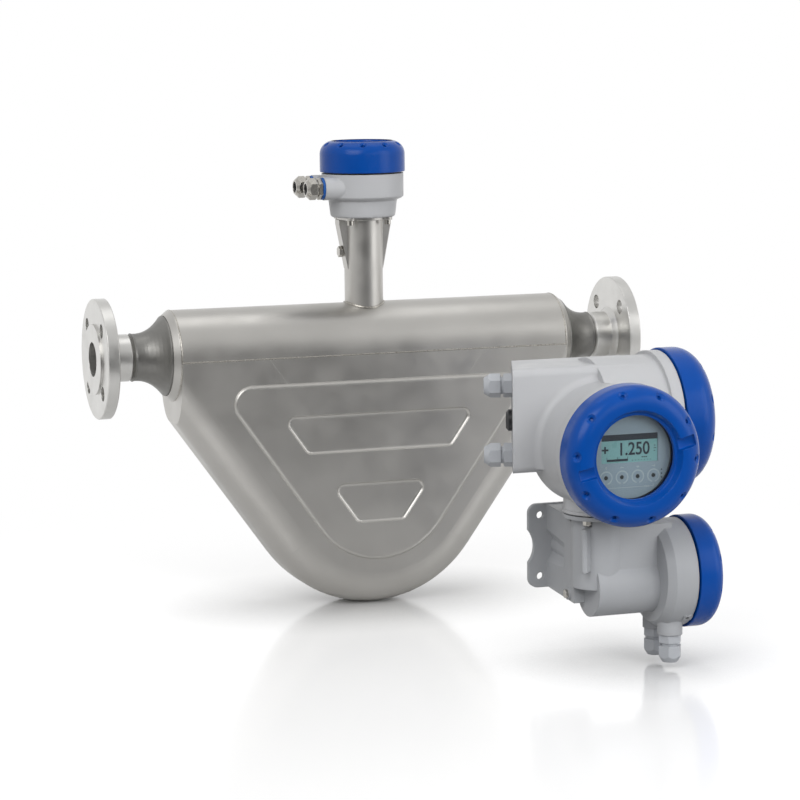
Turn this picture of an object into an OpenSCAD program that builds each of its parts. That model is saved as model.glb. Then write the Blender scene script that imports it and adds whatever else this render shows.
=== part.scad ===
// Coriolis mass flow meter, remote version: a flanged twin-tube sensor and its
// separate signal converter on a wall base. Millimetres.
// +X is the flow direction, +Z is up, and the origin is the centre of the inlet
// flange's sealing face. The sensor hangs in the pipeline by its two flanges.

/* [Process connection] */
// Face-to-face length of the sensor
face_to_face = 710; // [690:5:780]
// Outer diameter of each flange
flange_d = 150; // [146:1:165]
// Flange thickness, raised face included
flange_t = 18; // [14:1:22]
// Diameter of the raised face
raised_face_d = 88; // [80:1:90]
// Height of the raised face
raised_face_h = 3; // [2:0.5:4]
// Pitch circle diameter of the bolt holes
bolt_circle_d = 110; // [108:1:118]
// Diameter of each bolt hole
bolt_hole_d = 18; // [14:1:18]
// Number of bolt holes in each flange
bolt_count = 4; // [4, 8]
// Bore of the pipe connection
bore_d = 43.1; // [36:0.1:44]
// Outer diameter of the weld neck
neck_d = 59; // [56:1:64]
// Length from the sealing face to the weld
neck_l = 46; // [40:1:50]

/* [Casing] */
// Length of the casing between its end walls
casing_l = 510; // [490:5:540]
// Outer diameter of the casing's half pipe
casing_d = 114; // [110:1:118]
// Sheet thickness of the casing
casing_wall = 3; // [2:0.5:4]
// Depth of the casing's lowest point below the pipe axis
casing_depth = 328; // [310:1:345]
// Radius of the round bottom of the casing
bottom_r = 158; // [145:1:170]
// Angle of the casing's sloping sides to the horizontal
slope_a = 54.5; // [53:0.5:56]
// Radius of the pressed edge of each half shell
edge_r = 42; // [36:1:46]
// Depth of the horizontal weld seam below the pipe axis
seam_drop = 3.5; // [2:0.5:8]
// Diameter of the manifold where it enters the casing
manifold_d = 100; // [96:1:102]
// Length of the bevelled ring at each end of the casing
end_ring_l = 9; // [6:1:11]
// Height of the pressed panel on each side of the casing
panel_h = 3; // [2:0.5:3.5]

/* [Measuring tubes] */
// Outer diameter of each measuring tube
tube_d = 25; // [22:0.5:26]
// Wall thickness of each measuring tube
tube_wall = 1.5; // [1:0.25:2]
// Distance between the axes of the two tubes
tube_pitch = 44; // [42:1:48]
// Distance of the tube ports inside the casing's end walls
port_in = 33; // [31:1:39]
// Depth of the tube ports below the pipe axis
port_drop = 42; // [38:1:46]
// Depth of the centre of the tubes' bottom bend
tube_bend_drop = 180; // [174:1:186]
// Thickness of the brace plates that tie the tubes together
brace_t = 3; // [2:0.5:4]

/* [Stem and junction box] */
// Outer diameter of the stem
stem_d = 49; // [46:1:52]
// Height of the stem's top face above the pipe axis
stem_top = 166; // [155:1:175]
// Width of the stem across its wings at the top
stem_wing_w = 69; // [64:1:72]
// Outer diameter of the junction box
box_d = 104; // [102:1:107]
// Height of the junction box
box_h = 55; // [54:1:66]
// Wall thickness of the cast housings
cast_wall = 5; // [4:0.5:6]
// Outer diameter of the junction box cover
box_cover_d = 108; // [104:1:114]
// Height of the junction box cover
box_cover_h = 41; // [38:1:46]
// Distance between the two cable entries of the junction box
entry_pitch = 47; // [44:1:50]

/* [Signal converter] */
// Place of the converter's column axis along the pipe
conv_x = 475; // [420:5:560]
// Distance of the converter's column axis in front of the pipe
conv_gap = 485; // [400:5:560]
// Outer diameter of the display cover and of the side cover
cover_d = 160; // [156:1:166]
// Height of the display cover
display_cover_h = 38; // [34:1:44]
// Height of the side cover
side_cover_h = 44; // [40:1:50]
// Diameter of the clear window
window_d = 98; // [90:1:102]
// Height of the display axis
display_z = -66; // [-70:1:-62]
// Reach of the display's seat in front of the column axis
display_reach = 78; // [74:1:90]
// Height of the side compartment's axis
side_z = -44; // [-48:1:-40]
// Distance of the side compartment's axis behind the column axis
side_back = 35; // [32:1:38]
// Distance of the side cover's seat from the column axis
side_reach = 90; // [88:1:100]
// Length of the left compartment from the column axis
left_reach = 104; // [100:1:112]
// Depth of the left compartment
left_depth = 90; // [86:1:94]
// Angle by which the cable entry face is turned back
entry_turn = 20; // [12:1:24]
// Distance between the cable entries of the converter
conv_entry_pitch = 40; // [36:1:42]

/* [Wall base] */
// Height of the joint between converter and base
joint_z = -143; // [-148:1:-140]
// Diameter of the terminal compartment's cover
base_cover_d = 130; // [124:1:134]
// Height of the terminal compartment's cover
base_cover_h = 34; // [30:1:38]
// Height of the terminal compartment's cover axis
base_z = -220; // [-224:1:-218]
// Distance of the base cover's seat from the column axis
base_reach = 98; // [94:1:104]
// Distance of the wall plate's back behind the column axis
wall_back = 122; // [120:1:130]
// Width of the wall plate
plate_w = 80; // [76:1:90]
// Height of the wall plate
plate_h = 100; // [96:1:108]
// Horizontal distance between the wall plate's holes
plate_hole_x = 51; // [48:1:56]
// Vertical distance between the wall plate's holes
plate_hole_z = 73; // [68:1:76]
// Diameter of the wall plate's holes
plate_hole_d = 9; // [7:0.5:11]
// Distance between the two bottom cable glands
base_entry_pitch = 42; // [38:1:46]

/* [Cable glands] */
// Width across flats of the glands
gland_af = 24; // [22:1:26]
// Diameter of the glands' connecting thread
gland_thread_d = 20; // [16:1:20]
// Diameter of the cable that the glands are open for
cable_d = 9; // [6:0.5:11]

/* [Hidden] */
$fn = 72;

steel = "#9a968e";
bright_steel = "#b9b9b6";
machined = "#a6a6a3";
blue = "#0b57ad";
light_grey = "#c3c4c8";
base_grey = "#a9aaad";
plastic_grey = "#d6d7d9";
black = "#1c1c1e";
nickel = "#c9c6c0";
copper = "#b06a3a";
board_green = "#2f6b46";

// Fits and small shared clearances
fit_gap = 0.3;
braze_gap = 0.1;
eps = 0.01;

// Sensor, derived
mid_x = face_to_face / 2;
casing_x0 = mid_x - casing_l / 2;
casing_r = casing_d / 2;
bottom_z = bottom_r - casing_depth;
neck_r = neck_d / 2;
manifold_r = manifold_d / 2;
tube_r = tube_d / 2;
tube_ir = tube_r - tube_wall;
tube_y = tube_pitch / 2;
leg_dir = [cos(slope_a), sin(slope_a)];
// Distance of the tube ports from the middle of the casing
port_x = casing_l / 2 - port_in;
// Radius of the tubes' bottom bend, from the port and the slope
tube_bend_r = port_x * leg_dir[1] - (tube_bend_drop - port_drop) * leg_dir[0];
// Length of a straight tube leg between port and bottom bend
tube_leg_l = port_x * leg_dir[0] + (tube_bend_drop - port_drop) * leg_dir[1];

// Turns the Z axis to the X axis, for pieces turned about the pipe
module along_x() rotate([0, 90, 0]) children();

// Repeats its children at the other end of the sensor
module at_outlet() translate([face_to_face, 0, 0]) mirror([1, 0, 0]) children();

// ---------------------------------------------------------------- flanges

module flange() {
    hub_r = neck_r + 6.5;
    hub_l = 6;
    difference() {
        along_x() rotate_extrude() polygon([
            [bore_d / 2, 0], [raised_face_d / 2, 0],
            [raised_face_d / 2, raised_face_h], [flange_d / 2 - 1, raised_face_h],
            [flange_d / 2, raised_face_h + 1], [flange_d / 2, flange_t - 1],
            [flange_d / 2 - 1, flange_t], [hub_r, flange_t],
            [hub_r - 2, flange_t + 2], [neck_r, flange_t + hub_l],
            [neck_r, neck_l - 2], [neck_r - 2, neck_l], [bore_d / 2, neck_l]
        ]);
        for (i = [0 : bolt_count - 1])
            rotate([180 / bolt_count + i * 360 / bolt_count, 0, 0])
                translate([-1, 0, bolt_circle_d / 2])
                    along_x() cylinder(d = bolt_hole_d, h = flange_t + 2);
    }
}

module inlet_flange() color(machined) flange();
module outlet_flange() color(machined) at_outlet() flange();

// -------------------------------------------------------------- manifolds

flare_l = casing_x0 - end_ring_l - 2 - (neck_l + 6);
flare_steps = 9;
flare_power = 2.3;

function flare_r(t) = neck_r + (manifold_r - neck_r) * pow(t, flare_power);

// Axis of one measuring tube's leg: Z runs from the port up towards the flange
module on_leg(y) translate([mid_x - port_x, y, -port_drop])
    rotate([0, slope_a - 90, 0]) children();

module manifold() {
    boss_l = 50;
    head_r = manifold_r - 4;
    spigot_x = casing_x0 + casing_wall + 2;
    difference() {
        union() {
            along_x() rotate_extrude() polygon(concat(
                [[0, neck_l], [neck_r - 2, neck_l], [neck_r + 0.8, neck_l + 2.5],
                 [neck_r, neck_l + 5]],
                [for (i = [0 : flare_steps]) let (t = i / flare_steps)
                    [flare_r(t), neck_l + 6 + flare_l * t]],
                [[manifold_r, spigot_x], [head_r, spigot_x + 3],
                 [head_r, spigot_x + 14], [head_r - 8, spigot_x + 20],
                 [0, spigot_x + 20]]
            ));
            for (y = [-tube_y, tube_y])
                on_leg(y) cylinder(r = tube_r + 4, h = boss_l);
        }
        along_x() rotate_extrude() polygon([
            [0, neck_l - 1], [bore_d / 2, neck_l - 1], [bore_d / 2, neck_l + 8],
            [tube_y + tube_ir - 5, casing_x0 - 12], [tube_y + tube_ir - 5, casing_x0 + 2],
            [0, casing_x0 + 2]
        ]);
        for (y = [-tube_y, tube_y])
            on_leg(y) translate([0, 0, -1]) cylinder(r = tube_ir, h = boss_l + 6);
    }
}

module inlet_manifold() color(bright_steel) manifold();
module outlet_manifold() color(bright_steel) at_outlet() manifold();

// Bevelled ring that closes the casing around the manifold
module end_ring() along_x() rotate_extrude() polygon([
    [manifold_r + braze_gap, casing_x0 - end_ring_l],
    [manifold_r + 1.2, casing_x0 - end_ring_l],
    [casing_r, casing_x0 - 1.5], [casing_r, casing_x0],
    [manifold_r + braze_gap, casing_x0]
]);

module inlet_end_ring() color(steel) end_ring();
module outlet_end_ring() color(steel) at_outlet() end_ring();

// ----------------------------------------------------------------- casing

module casing_top_shell() color(steel) difference() {
    translate([casing_x0, 0, 0]) along_x() cylinder(r = casing_r, h = casing_l);
    translate([casing_x0 + casing_wall, 0, 0]) along_x()
        cylinder(r = casing_r - casing_wall, h = casing_l - 2 * casing_wall);
    translate([casing_x0 - 1, 0, 0]) along_x()
        cylinder(r = manifold_r + braze_gap, h = casing_l + 2);
    translate([casing_x0 - 1, -casing_r - 1, -casing_r - 1])
        cube([casing_l + 2, casing_d + 2, casing_r + 1 - seam_drop]);
    cylinder_at_stem(stem_d / 2 - 3, casing_d);
}

module cylinder_at_stem(r, h) translate([mid_x, 0, 0]) cylinder(r = r, h = h);

// Section across the edge strip of one half of the V casing, from its flat face
// at y < 0 to y1: x is the distance from the bend centre
module edge_section(s, y1) {
    r = bottom_r - s;
    half = casing_r - s;
    f = edge_r - s;
    translate([strip_x0, -half]) square([r - f - strip_x0, half + y1]);
    translate([strip_x0, f - half]) square([r - strip_x0, half - f + y1]);
    translate([r - f, f - half]) circle(f);
}

strip_x0 = 20;
// Steps that keep the surfaces of bend, flat and sloping sides apart
joint_step = 0.15;
flat_step = 0.07;

// Solid front half of the V body below the weld seam, shrunk by s on all sides:
// a rounded strip down each side, one round the bottom, and the flat between
module v_body(s, y1) {
    reach = 420;
    half = casing_r - s - flat_step;
    flat_w = 50;
    intersection() {
        translate([mid_x, 0, bottom_z]) {
            rotate([-90, 0, 0])
                rotate_extrude(start = 89 - slope_a, angle = 2 * slope_a + 2)
                    edge_section(s + joint_step, y1);
            for (m = [0, 1]) mirror([m, 0, 0]) rotate([0, 90 - slope_a, 0])
                linear_extrude(reach) edge_section(s, y1);
            translate([0, y1 - flat_step, 0]) rotate([90, 0, 0])
                linear_extrude(half + y1 - flat_step) {
                    circle(bottom_r - edge_r - 1);
                    polygon([[-flat_w, 0], [flat_w, 0], reach * leg_dir + [flat_w, 0],
                             [-reach * leg_dir[0] - flat_w, reach * leg_dir[1]]]);
                }
        }
        translate([casing_x0 + s, -casing_r - 1, -casing_depth - 1])
            cube([casing_l - 2 * s, casing_r + 1 + y1, casing_depth + 1 - seam_drop]);
    }
}

// Corners of the pressed panels: x from the middle, z, and corner radius. The
// outer panel stands proud of the pan, and the two inner ones are let into it
panel_outer = [[-212, -36, 24], [212, -36, 24], [0, -339, 97]];
panel_middle = [[-131, -77, 10.5], [131, -77, 10.5], [96, -127, 10.5], [-96, -127, 10.5]];
panel_lower = [[-68, -166, 10.5], [68, -166, 10.5], [31, -218, 10.5], [-31, -218, 10.5]];

function unit(v) = v / norm(v);
function flat2(p) = [p[0], p[1]];
function corner(points, i) = flat2(points[(i + len(points)) % len(points)]);
// Unit vectors from a corner to the next one and to the one before
function ahead(points, i) = unit(corner(points, i + 1) - corner(points, i));
function back(points, i) = unit(corner(points, i - 1) - corner(points, i));
function half_angle(points, i) = acos(ahead(points, i) * back(points, i)) / 2;
function round_centre(points, i) = corner(points, i)
    + unit(ahead(points, i) + back(points, i)) * points[i][2] / sin(half_angle(points, i));

// Rounded outline, shrunk by d
module panel(points, d) {
    n = len(points);
    for (i = [0 : n - 1]) translate(round_centre(points, i)) circle(points[i][2] - d);
    polygon([for (i = [0 : n - 1], end = [0, 1]) let (
        along = end == 0 ? -back(points, i) : ahead(points, i),
        out = [-along[1], along[0]])
        round_centre(points, i) + out * (points[i][2] - d - joint_step)]);
}

// Round rod of radius r that follows the outline, shrunk by d
module panel_rim(points, d, r) {
    n = len(points);
    for (i = [0 : n - 1]) {
        c = points[i][2] - d;
        a = back(points, i);
        b = ahead(points, i);
        middle = round_centre(points, i);
        turn = 180 - 2 * half_angle(points, i);
        along = ahead(points, i);
        out = [-along[1], along[0]];
        next_middle = round_centre(points, (i + 1) % n);
        start_p = middle + out * c;
        end_p = next_middle + out * (points[(i + 1) % n][2] - d);
        translate(middle) rotate(atan2(out[1], out[0])) rotate_extrude(angle = turn)
            translate([c, 0]) circle(r);
        translate(start_p) rotate([0, 0, atan2(b[1], b[0])]) along_x()
            translate([0, 0, -1]) cylinder(r = r - joint_step, h = norm(end_p - start_p) + 2);
    }
}

rim_r = 5;
// Reach of a panel's rounded step outwards from the middle of its rim
rim_reach = sqrt(rim_r * rim_r - (rim_r - panel_h) * (rim_r - panel_h));

// Sets children in the pan's front face: x from the middle, y up, z outwards
module on_pan(depth) translate([mid_x, -casing_r - depth, 0]) rotate([90, 0, 0]) children();

// Front half of the V casing, pressed from sheet with a proud panel and two recesses
module front_pan() difference() {
    union() {
        v_body(0, 0);
        on_pan(-2) linear_extrude(panel_h + 2 - flat_step) panel(panel_outer, rim_reach);
        on_pan(panel_h - rim_r) panel_rim(panel_outer, rim_reach, rim_r);
    }
    for (p = [panel_middle, panel_lower]) {
        on_pan(flat_step) linear_extrude(panel_h + 1) panel(p, rim_reach);
        on_pan(rim_r) panel_rim(p, rim_reach, rim_r);
    }
    v_body(casing_wall, 1);
    on_pan(-casing_wall - 1) linear_extrude(panel_h + 1) difference() {
        panel(panel_outer, rim_reach + casing_wall);
        panel(panel_middle, -casing_wall);
        panel(panel_lower, -casing_wall);
    }
    translate([casing_x0 - 1, 0, 0]) along_x()
        cylinder(r = manifold_r + braze_gap, h = casing_l + 2);
}

module casing_front_pan() color(steel) front_pan();
module casing_rear_pan() color(steel) mirror([0, 1, 0]) front_pan();

// -------------------------------------------------------- measuring tubes

// Path of one measuring tube as a solid of radius r
module tube_path(r) {
    rotate([90, 0, 0]) rotate_extrude(start = 270 - slope_a, angle = 2 * slope_a)
        translate([tube_bend_r, 0]) circle(r);
    for (m = [0, 1]) mirror([m, 0, 0]) rotate([0, 90 - slope_a, 0])
        translate([tube_bend_r, 0, -1]) cylinder(r = r - joint_step, h = tube_leg_l + 1);
}

module measuring_tube(y) color(bright_steel)
    translate([mid_x, y, -tube_bend_drop]) difference() {
        tube_path(tube_r);
        tube_path(tube_ir);
    }

module front_measuring_tube() measuring_tube(-tube_y);
module rear_measuring_tube() measuring_tube(tube_y);

// Frame on a tube leg, at a share of its length below the port
module on_leg_at(side, d) translate([mid_x, 0, -tube_bend_drop])
    mirror([side, 0, 0]) rotate([0, 90 - slope_a, 0])
        translate([tube_bend_r, 0, tube_leg_l - d]) children();

module brace() {
    plate_r = tube_r + 5;
    difference() {
        union() {
            for (y = [-tube_y, tube_y]) translate([0, y, 0])
                cylinder(r = plate_r, h = brace_t, center = true);
            cube([2 * plate_r - 8, tube_pitch, brace_t], center = true);
        }
        for (y = [-tube_y, tube_y]) translate([0, y, 0])
            cylinder(r = tube_r + braze_gap, h = brace_t + 2, center = true);
    }
}

brace_places = [30, 52];

module tube_brace_plates() color(steel)
    for (side = [0, 1], d = brace_places) on_leg_at(side, d) brace();

// Clamp on one tube that reaches towards the middle plane
module tube_clamp(sign, reach) difference() {
    union() {
        translate([0, sign * tube_y, 0])
            cylinder(r = tube_r + 2.5, h = 14, center = true);
        translate([-9, min(sign * reach, sign * tube_y), -7])
            cube([18, tube_y - reach, 14]);
    }
    translate([0, sign * tube_y, 0])
        cylinder(r = tube_r + braze_gap, h = 40, center = true);
}

coil_r = 8;
magnet_r = 4.5;

// Coil half of a driver or pickoff, on the front tube
module coil_unit() {
    difference() {
        union() {
            tube_clamp(-1, 8.5);
            translate([0, -8.5, 0]) rotate([-90, 0, 0]) cylinder(r = coil_r, h = 7.5);
        }
        translate([0, -6.5, 0]) rotate([-90, 0, 0]) cylinder(r = magnet_r + 1, h = 9);
        translate([0, -tube_y, 0])
            cylinder(r = tube_r + braze_gap, h = 40, center = true);
    }
}

// Magnet half of a driver or pickoff, on the rear tube
module magnet_unit() {
    difference() {
        union() {
            tube_clamp(1, 6);
            translate([0, -4.5, 0]) rotate([-90, 0, 0]) cylinder(r = magnet_r, h = 12);
        }
        translate([0, tube_y, 0])
            cylinder(r = tube_r + braze_gap, h = 40, center = true);
    }
}

// Frame at the bottom of the tube bend, with Z along the tube
module at_bottom() translate([mid_x, 0, -tube_bend_drop - tube_bend_r])
    rotate([0, 90, 0]) children();

// The clamps at the bottom are short, so the bend may be taken as straight
module bend_bore() translate([mid_x, 0, -tube_bend_drop])
    for (y = [-tube_y, tube_y]) translate([0, y, 0])
        rotate([90, 0, 0]) rotate_extrude()
            translate([tube_bend_r, 0]) circle(tube_r + braze_gap);

module drive_coil() color(copper) difference() {
    at_bottom() coil_unit();
    bend_bore();
}

module drive_magnet() color(steel) difference() {
    at_bottom() magnet_unit();
    bend_bore();
}

pickoff_drop = 90;

module pickoff_coils() color(copper)
    for (side = [0, 1]) on_leg_at(side, pickoff_drop) coil_unit();

module pickoff_magnets() color(steel)
    for (side = [0, 1]) on_leg_at(side, pickoff_drop) magnet_unit();

module temperature_sensor() color(plastic_grey)
    on_leg_at(0, 12) translate([tube_r + braze_gap, -tube_y - 3, -6]) cube([3, 6, 12]);

// ---------------------------------------------------------- stem and plug

stem_r = stem_d / 2;
stem_flange_r = 33;
stem_flange_t = 3.5;
stem_lug_r = 6;
stem_screw_r = 35;

module stem_wing() {
    wing_t = 17;
    wing_z0 = 100;
    rotate([90, 0, 0]) linear_extrude(wing_t, center = true) polygon([
        [0, wing_z0], [stem_r - 1, wing_z0], [stem_wing_w / 2, stem_top - stem_flange_t - 5],
        [stem_wing_w / 2, stem_top - stem_flange_t], [0, stem_top - stem_flange_t]
    ]);
}

module stem() color(steel) translate([mid_x, 0, 0]) difference() {
    union() {
        cylinder(r = stem_r, h = stem_top);
        for (m = [0, 1]) mirror([m, 0, 0]) stem_wing();
        translate([0, 0, stem_top - stem_flange_t]) linear_extrude(stem_flange_t) {
            circle(stem_flange_r);
            for (a = [45 : 90 : 315]) rotate(a) {
                translate([stem_screw_r, 0]) circle(stem_lug_r);
                translate([0, -stem_lug_r]) square([stem_screw_r, 2 * stem_lug_r]);
            }
        }
    }
    translate([0, 0, -1]) cylinder(r = stem_r - 3, h = stem_top + 2);
    translate([-casing_l / 2, 0, 0]) along_x() cylinder(r = casing_r + eps, h = casing_l);
    translate([-stem_r - plug_seat, 0, plug_z]) rotate([0, -90, 0]) cylinder(r = 7.6, h = 30);
    for (a = [45 : 90 : 315]) rotate(a) translate([stem_screw_r, 0, stem_top - 20])
        cylinder(r = 2.6, h = 30);
    translate([-stem_r - 20, 0, plug_z]) along_x() cylinder(r = 4, h = 30);
}

module stem_screws() color(nickel)
    for (a = [45 : 90 : 315]) translate([mid_x, 0, 0]) rotate(a)
        translate([stem_screw_r, 0, stem_top - stem_flange_t]) {
            cylinder(r = 2.4, h = stem_flange_t + 4);
            translate([0, 0, -6]) cylinder(r = 4, h = 6);
        }

plug_z = 122;
plug_seat = 3;

module stem_plug() color(bright_steel) translate([mid_x, 0, plug_z])
    rotate([0, -90, 0]) {
        translate([0, 0, stem_r + plug_seat]) cylinder(r = 7, h = 6, $fn = 6);
        translate([0, 0, stem_r - 3]) cylinder(r = 3.9, h = plug_seat + 3 + eps);
    }

module cable_feedthrough() color(nickel) translate([mid_x, 0, casing_r + 6]) {
    cylinder(r = stem_r - 3 - braze_gap, h = 8);
    for (a = [0 : 45 : 315]) rotate(a) translate([12, 0, -6]) cylinder(r = 0.8, h = 22);
}

// ---------------------------------------------------------- junction box

box_r = box_d / 2;
box_z1 = stem_top + box_h;
box_mouth_r = box_r - 6;
box_step_z = stem_top + 24;
box_low_r = 43.5;
entry_z = stem_top + 38;
entry_x = 60;
entry_boss_r = 14.7;

module junction_box() color(light_grey) translate([mid_x, 0, 0]) difference() {
    union() {
        rotate_extrude() polygon([
            [0, stem_top], [box_low_r - 4, stem_top], [box_low_r - 2.6, stem_top + 1.5],
            [box_low_r - 2, stem_top + 4], [box_low_r, box_step_z - 3],
            [box_r - 2, box_step_z], [box_r, box_step_z + 2], [box_r, box_z1],
            [0, box_z1]
        ]);
        for (y = [-1, 1]) translate([-entry_x, y * entry_pitch / 2, entry_z])
            along_x() cylinder(r = entry_boss_r, h = 30);
    }
    translate([0, 0, box_step_z + 3]) cylinder(r = box_r - cast_wall, h = 12);
    translate([0, 0, box_step_z + 3]) cylinder(r = box_mouth_r, h = box_h);
    translate([0, 0, stem_top + cast_wall])
        cylinder(r = box_low_r - cast_wall - 2, h = box_h);
    translate([0, 0, stem_top - 1]) cylinder(r = stem_r - 8, h = 20);
    for (a = [45 : 90 : 315]) rotate(a) translate([stem_screw_r, 0, stem_top - 1])
        cylinder(r = 2.6, h = 5.2);
    for (y = [-1, 1]) translate([-entry_x - 1, y * entry_pitch / 2, entry_z])
        along_x() cylinder(d = gland_thread_d, h = 34);
}

module junction_box_terminals() color(board_green)
    translate([mid_x, 0, stem_top + cast_wall]) difference() {
        union() {
            translate([-24, -12, 0]) cube([48, 24, 6]);
            for (i = [0 : 5]) translate([-23 + i * 8, -9, 6]) cube([6.5, 18, 10]);
        }
        for (i = [0 : 5]) translate([-19.75 + i * 8, 0, 9]) cylinder(r = 2, h = 9);
        translate([0, 0, -1]) cylinder(r = 6, h = 9);
    }

// ----------------------------------------------------------- screw covers

seal_h = 2;
spigot_l = 9;
spigot_wall = 5;
dent_count = 10;
dent_r = 6.4;
dent_out = 4.2;
dent_depth = 4;
dent_a = 40;

// Radius of the threaded spigot of a cover with outer radius r
function spigot_r(r, rim) = r - rim - fit_gap;

// Solid outline of a cover of radius r and height h with a shoulder of radius s
module cover_outline(r, h, s) {
    square([r, h - s]);
    square([r - s, h]);
    translate([r - s, h - s]) circle(s);
}

// Screw cover, its seat at z = 0 and its outside upwards. rim is the width of
// the housing's edge that it closes on, recess_r the radius of the dished front
// and front_t its thickness, and open_r the sight opening, 0 on a closed cover
module screw_cover(r, h, s, rim, recess_r, recess_d, front_t, open_r) {
    inner_r = spigot_r(r, rim) - spigot_wall;
    difference() {
        union() {
            rotate_extrude() difference() {
                cover_outline(r, h, s);
                translate([-r - s, -2 * s]) square([r + s, 2 * h + 2 * s]);
                translate([-1, -2 * s]) square([r + s, 2 * s]);
            }
            translate([0, 0, -spigot_l]) cylinder(r = spigot_r(r, rim), h = spigot_l + 1);
        }
        translate([0, 0, h - recess_d])
            cylinder(r1 = recess_r, r2 = recess_r + recess_d * 0.35, h = recess_d + eps);
        translate([0, 0, -spigot_l - 1])
            cylinder(r = inner_r, h = h - recess_d - front_t + spigot_l + 1);
        if (open_r > 0) translate([0, 0, -1]) cylinder(r = open_r, h = h + 2);
        for (i = [0 : dent_count - 1]) rotate((i + 0.5) * 360 / dent_count)
            translate([r - s, 0, h - s]) rotate([0, dent_a, 0]) translate([0, 0, s]) {
                translate([0, 0, dent_out]) sphere(r = dent_r);
                translate([0, 0, -dent_depth]) cylinder(r = 2.4, h = dent_depth);
            }
        for (a = [0, 180]) rotate(a + 360 / dent_count)
            translate([recess_r + s * 0.45, -r * 0.07, h - s * 0.28])
                cube([r, r * 0.14, s]);
    }
}

// Flat sealing ring under a cover
module cover_seal(r, rim) difference() {
    cylinder(r = spigot_r(r, rim) + 3.2, h = seal_h);
    translate([0, 0, -1]) cylinder(r = spigot_r(r, rim) + braze_gap, h = seal_h + 2);
}

box_cover_s = 17;
box_rim = box_cover_d / 2 - box_mouth_r;

module at_box_cover() translate([mid_x, 0, box_z1]) children();

module junction_box_seal() color(black) at_box_cover() cover_seal(box_cover_d / 2, box_rim);

module junction_box_cover() color(blue) at_box_cover() translate([0, 0, seal_h])
    screw_cover(box_cover_d / 2, box_cover_h - seal_h, box_cover_s, box_rim, 35, 9, 5, 0);

// ------------------------------------------------------------ cable glands

// Body, neck and nut heights of a plastic and of a metal gland
plastic_gland = [9.7, 3.3, 19.2];
metal_gland = [5, 2, 13];
gland_thread_l = 9;
gland_corner_r = gland_af / 2 / cos(30);

// Gland body, its seat at z = 0 and the cable leaving upwards
module gland_body(g) difference() {
    union() {
        intersection() {
            cylinder(r = gland_corner_r, h = g[0], $fn = 6);
            cylinder(r1 = gland_corner_r + 2, r2 = gland_corner_r - 0.6, h = g[0]);
        }
        cylinder(r = gland_af / 2 - 2, h = g[0] + g[1]);
        translate([0, 0, -gland_thread_l])
            cylinder(r = gland_thread_d / 2 - braze_gap, h = gland_thread_l + 1);
    }
    translate([0, 0, -gland_thread_l - 1])
        cylinder(r = cable_d / 2 + 2, h = gland_thread_l + g[0] + g[1] + 2);
}

module gland_nut(g) translate([0, 0, g[0] + g[1]]) difference() {
    cone_h = g[2] / 2;
    intersection() {
        cylinder(r = gland_corner_r, h = g[2], $fn = 6);
        union() {
            cylinder(r = gland_corner_r + 1, h = g[2] - cone_h);
            translate([0, 0, g[2] - cone_h])
                cylinder(r1 = gland_corner_r + 1, r2 = gland_af / 2 - 3, h = cone_h);
        }
    }
    translate([0, 0, -1]) cylinder(r = cable_d / 2 + 2.6, h = g[2] + 2);
}

module gland_insert(g) translate([0, 0, g[0] + g[1]]) difference() {
    cylinder(r = cable_d / 2 + 2.5, h = g[2] - 1);
    translate([0, 0, -1]) cylinder(r = cable_d / 2, h = g[2] + 2);
}

gland_seal_h = 3;

module at_sensor_glands()
    for (y = [-1, 1]) translate([mid_x - entry_x, y * entry_pitch / 2, entry_z])
        rotate([0, -90, 0]) children();

module sensor_gland_seals() color(blue) at_sensor_glands() difference() {
    cylinder(r = gland_corner_r, h = gland_seal_h);
    translate([0, 0, -1]) cylinder(d = gland_thread_d, h = gland_seal_h + 2);
}

module sensor_gland_bodies() color(nickel)
    at_sensor_glands() translate([0, 0, gland_seal_h]) gland_body(metal_gland);

module sensor_gland_nuts() color(nickel)
    at_sensor_glands() translate([0, 0, gland_seal_h]) gland_nut(metal_gland);

module sensor_gland_inserts() color(black)
    at_sensor_glands() translate([0, 0, gland_seal_h]) gland_insert(metal_gland);

// -------------------------------------------------------- signal converter

module at_converter() translate([conv_x, -conv_gap, 0]) children();

cover_r = cover_d / 2;
cover_s = 20;
cover_rim = 13;
mouth_r = cover_r - cover_rim;
turret_r = 72;
side_r = 73;
neck_z1 = -90;
conv_neck_r = 40;
left_z0 = -95;
left_z1 = 24;
left_corner_r = 9;
turret_blend_r = 8;
joint_screw_xy = 24;
entry_mid_z = (left_z0 + left_z1) / 2 - 4;
terminal_wall_y = 16;

// Frames with Z along each compartment's axis, at the seat of its cover
module at_display() at_converter() translate([0, -display_reach, display_z])
    rotate([90, 0, 0]) children();
module at_side() at_converter() translate([side_reach, side_back, side_z])
    rotate([0, 90, 0]) children();
module at_base_cover() at_converter() translate([base_reach, 0, base_z])
    rotate([0, 90, 0]) children();

// Frame on the turned-back cable entry face
module at_entry_face() at_converter() translate([-left_reach, 0, entry_mid_z])
    rotate([0, 0, -entry_turn]) translate([0, left_depth / 2 / cos(entry_turn), 0])
        rotate([0, -90, 0]) children();

// Rounded rectangle in the compartment's section, shrunk by s
module left_section(s) {
    c = left_corner_r - s;
    w = left_depth - 2 * s;
    h = left_z1 - left_z0 - 2 * s;
    translate([s, left_z0 + s]) {
        translate([c, 0]) square([w - 2 * c, h]);
        translate([0, c]) square([w, h - 2 * c]);
        for (x = [c, w - c], y = [c, h - c]) translate([x, y]) circle(c);
    }
}

// Left compartment from the entry face to x1, shrunk by s
module left_box(s, x1) difference() {
    translate([-left_reach - 40, 0, 0]) rotate([90, 0, 90])
        linear_extrude(left_reach + 40 + x1) left_section(s);
    translate([-left_reach, 0, 0]) rotate([0, 0, -entry_turn])
        translate([s - 200, -100, -200]) cube([200, 300, 400]);
}

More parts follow.
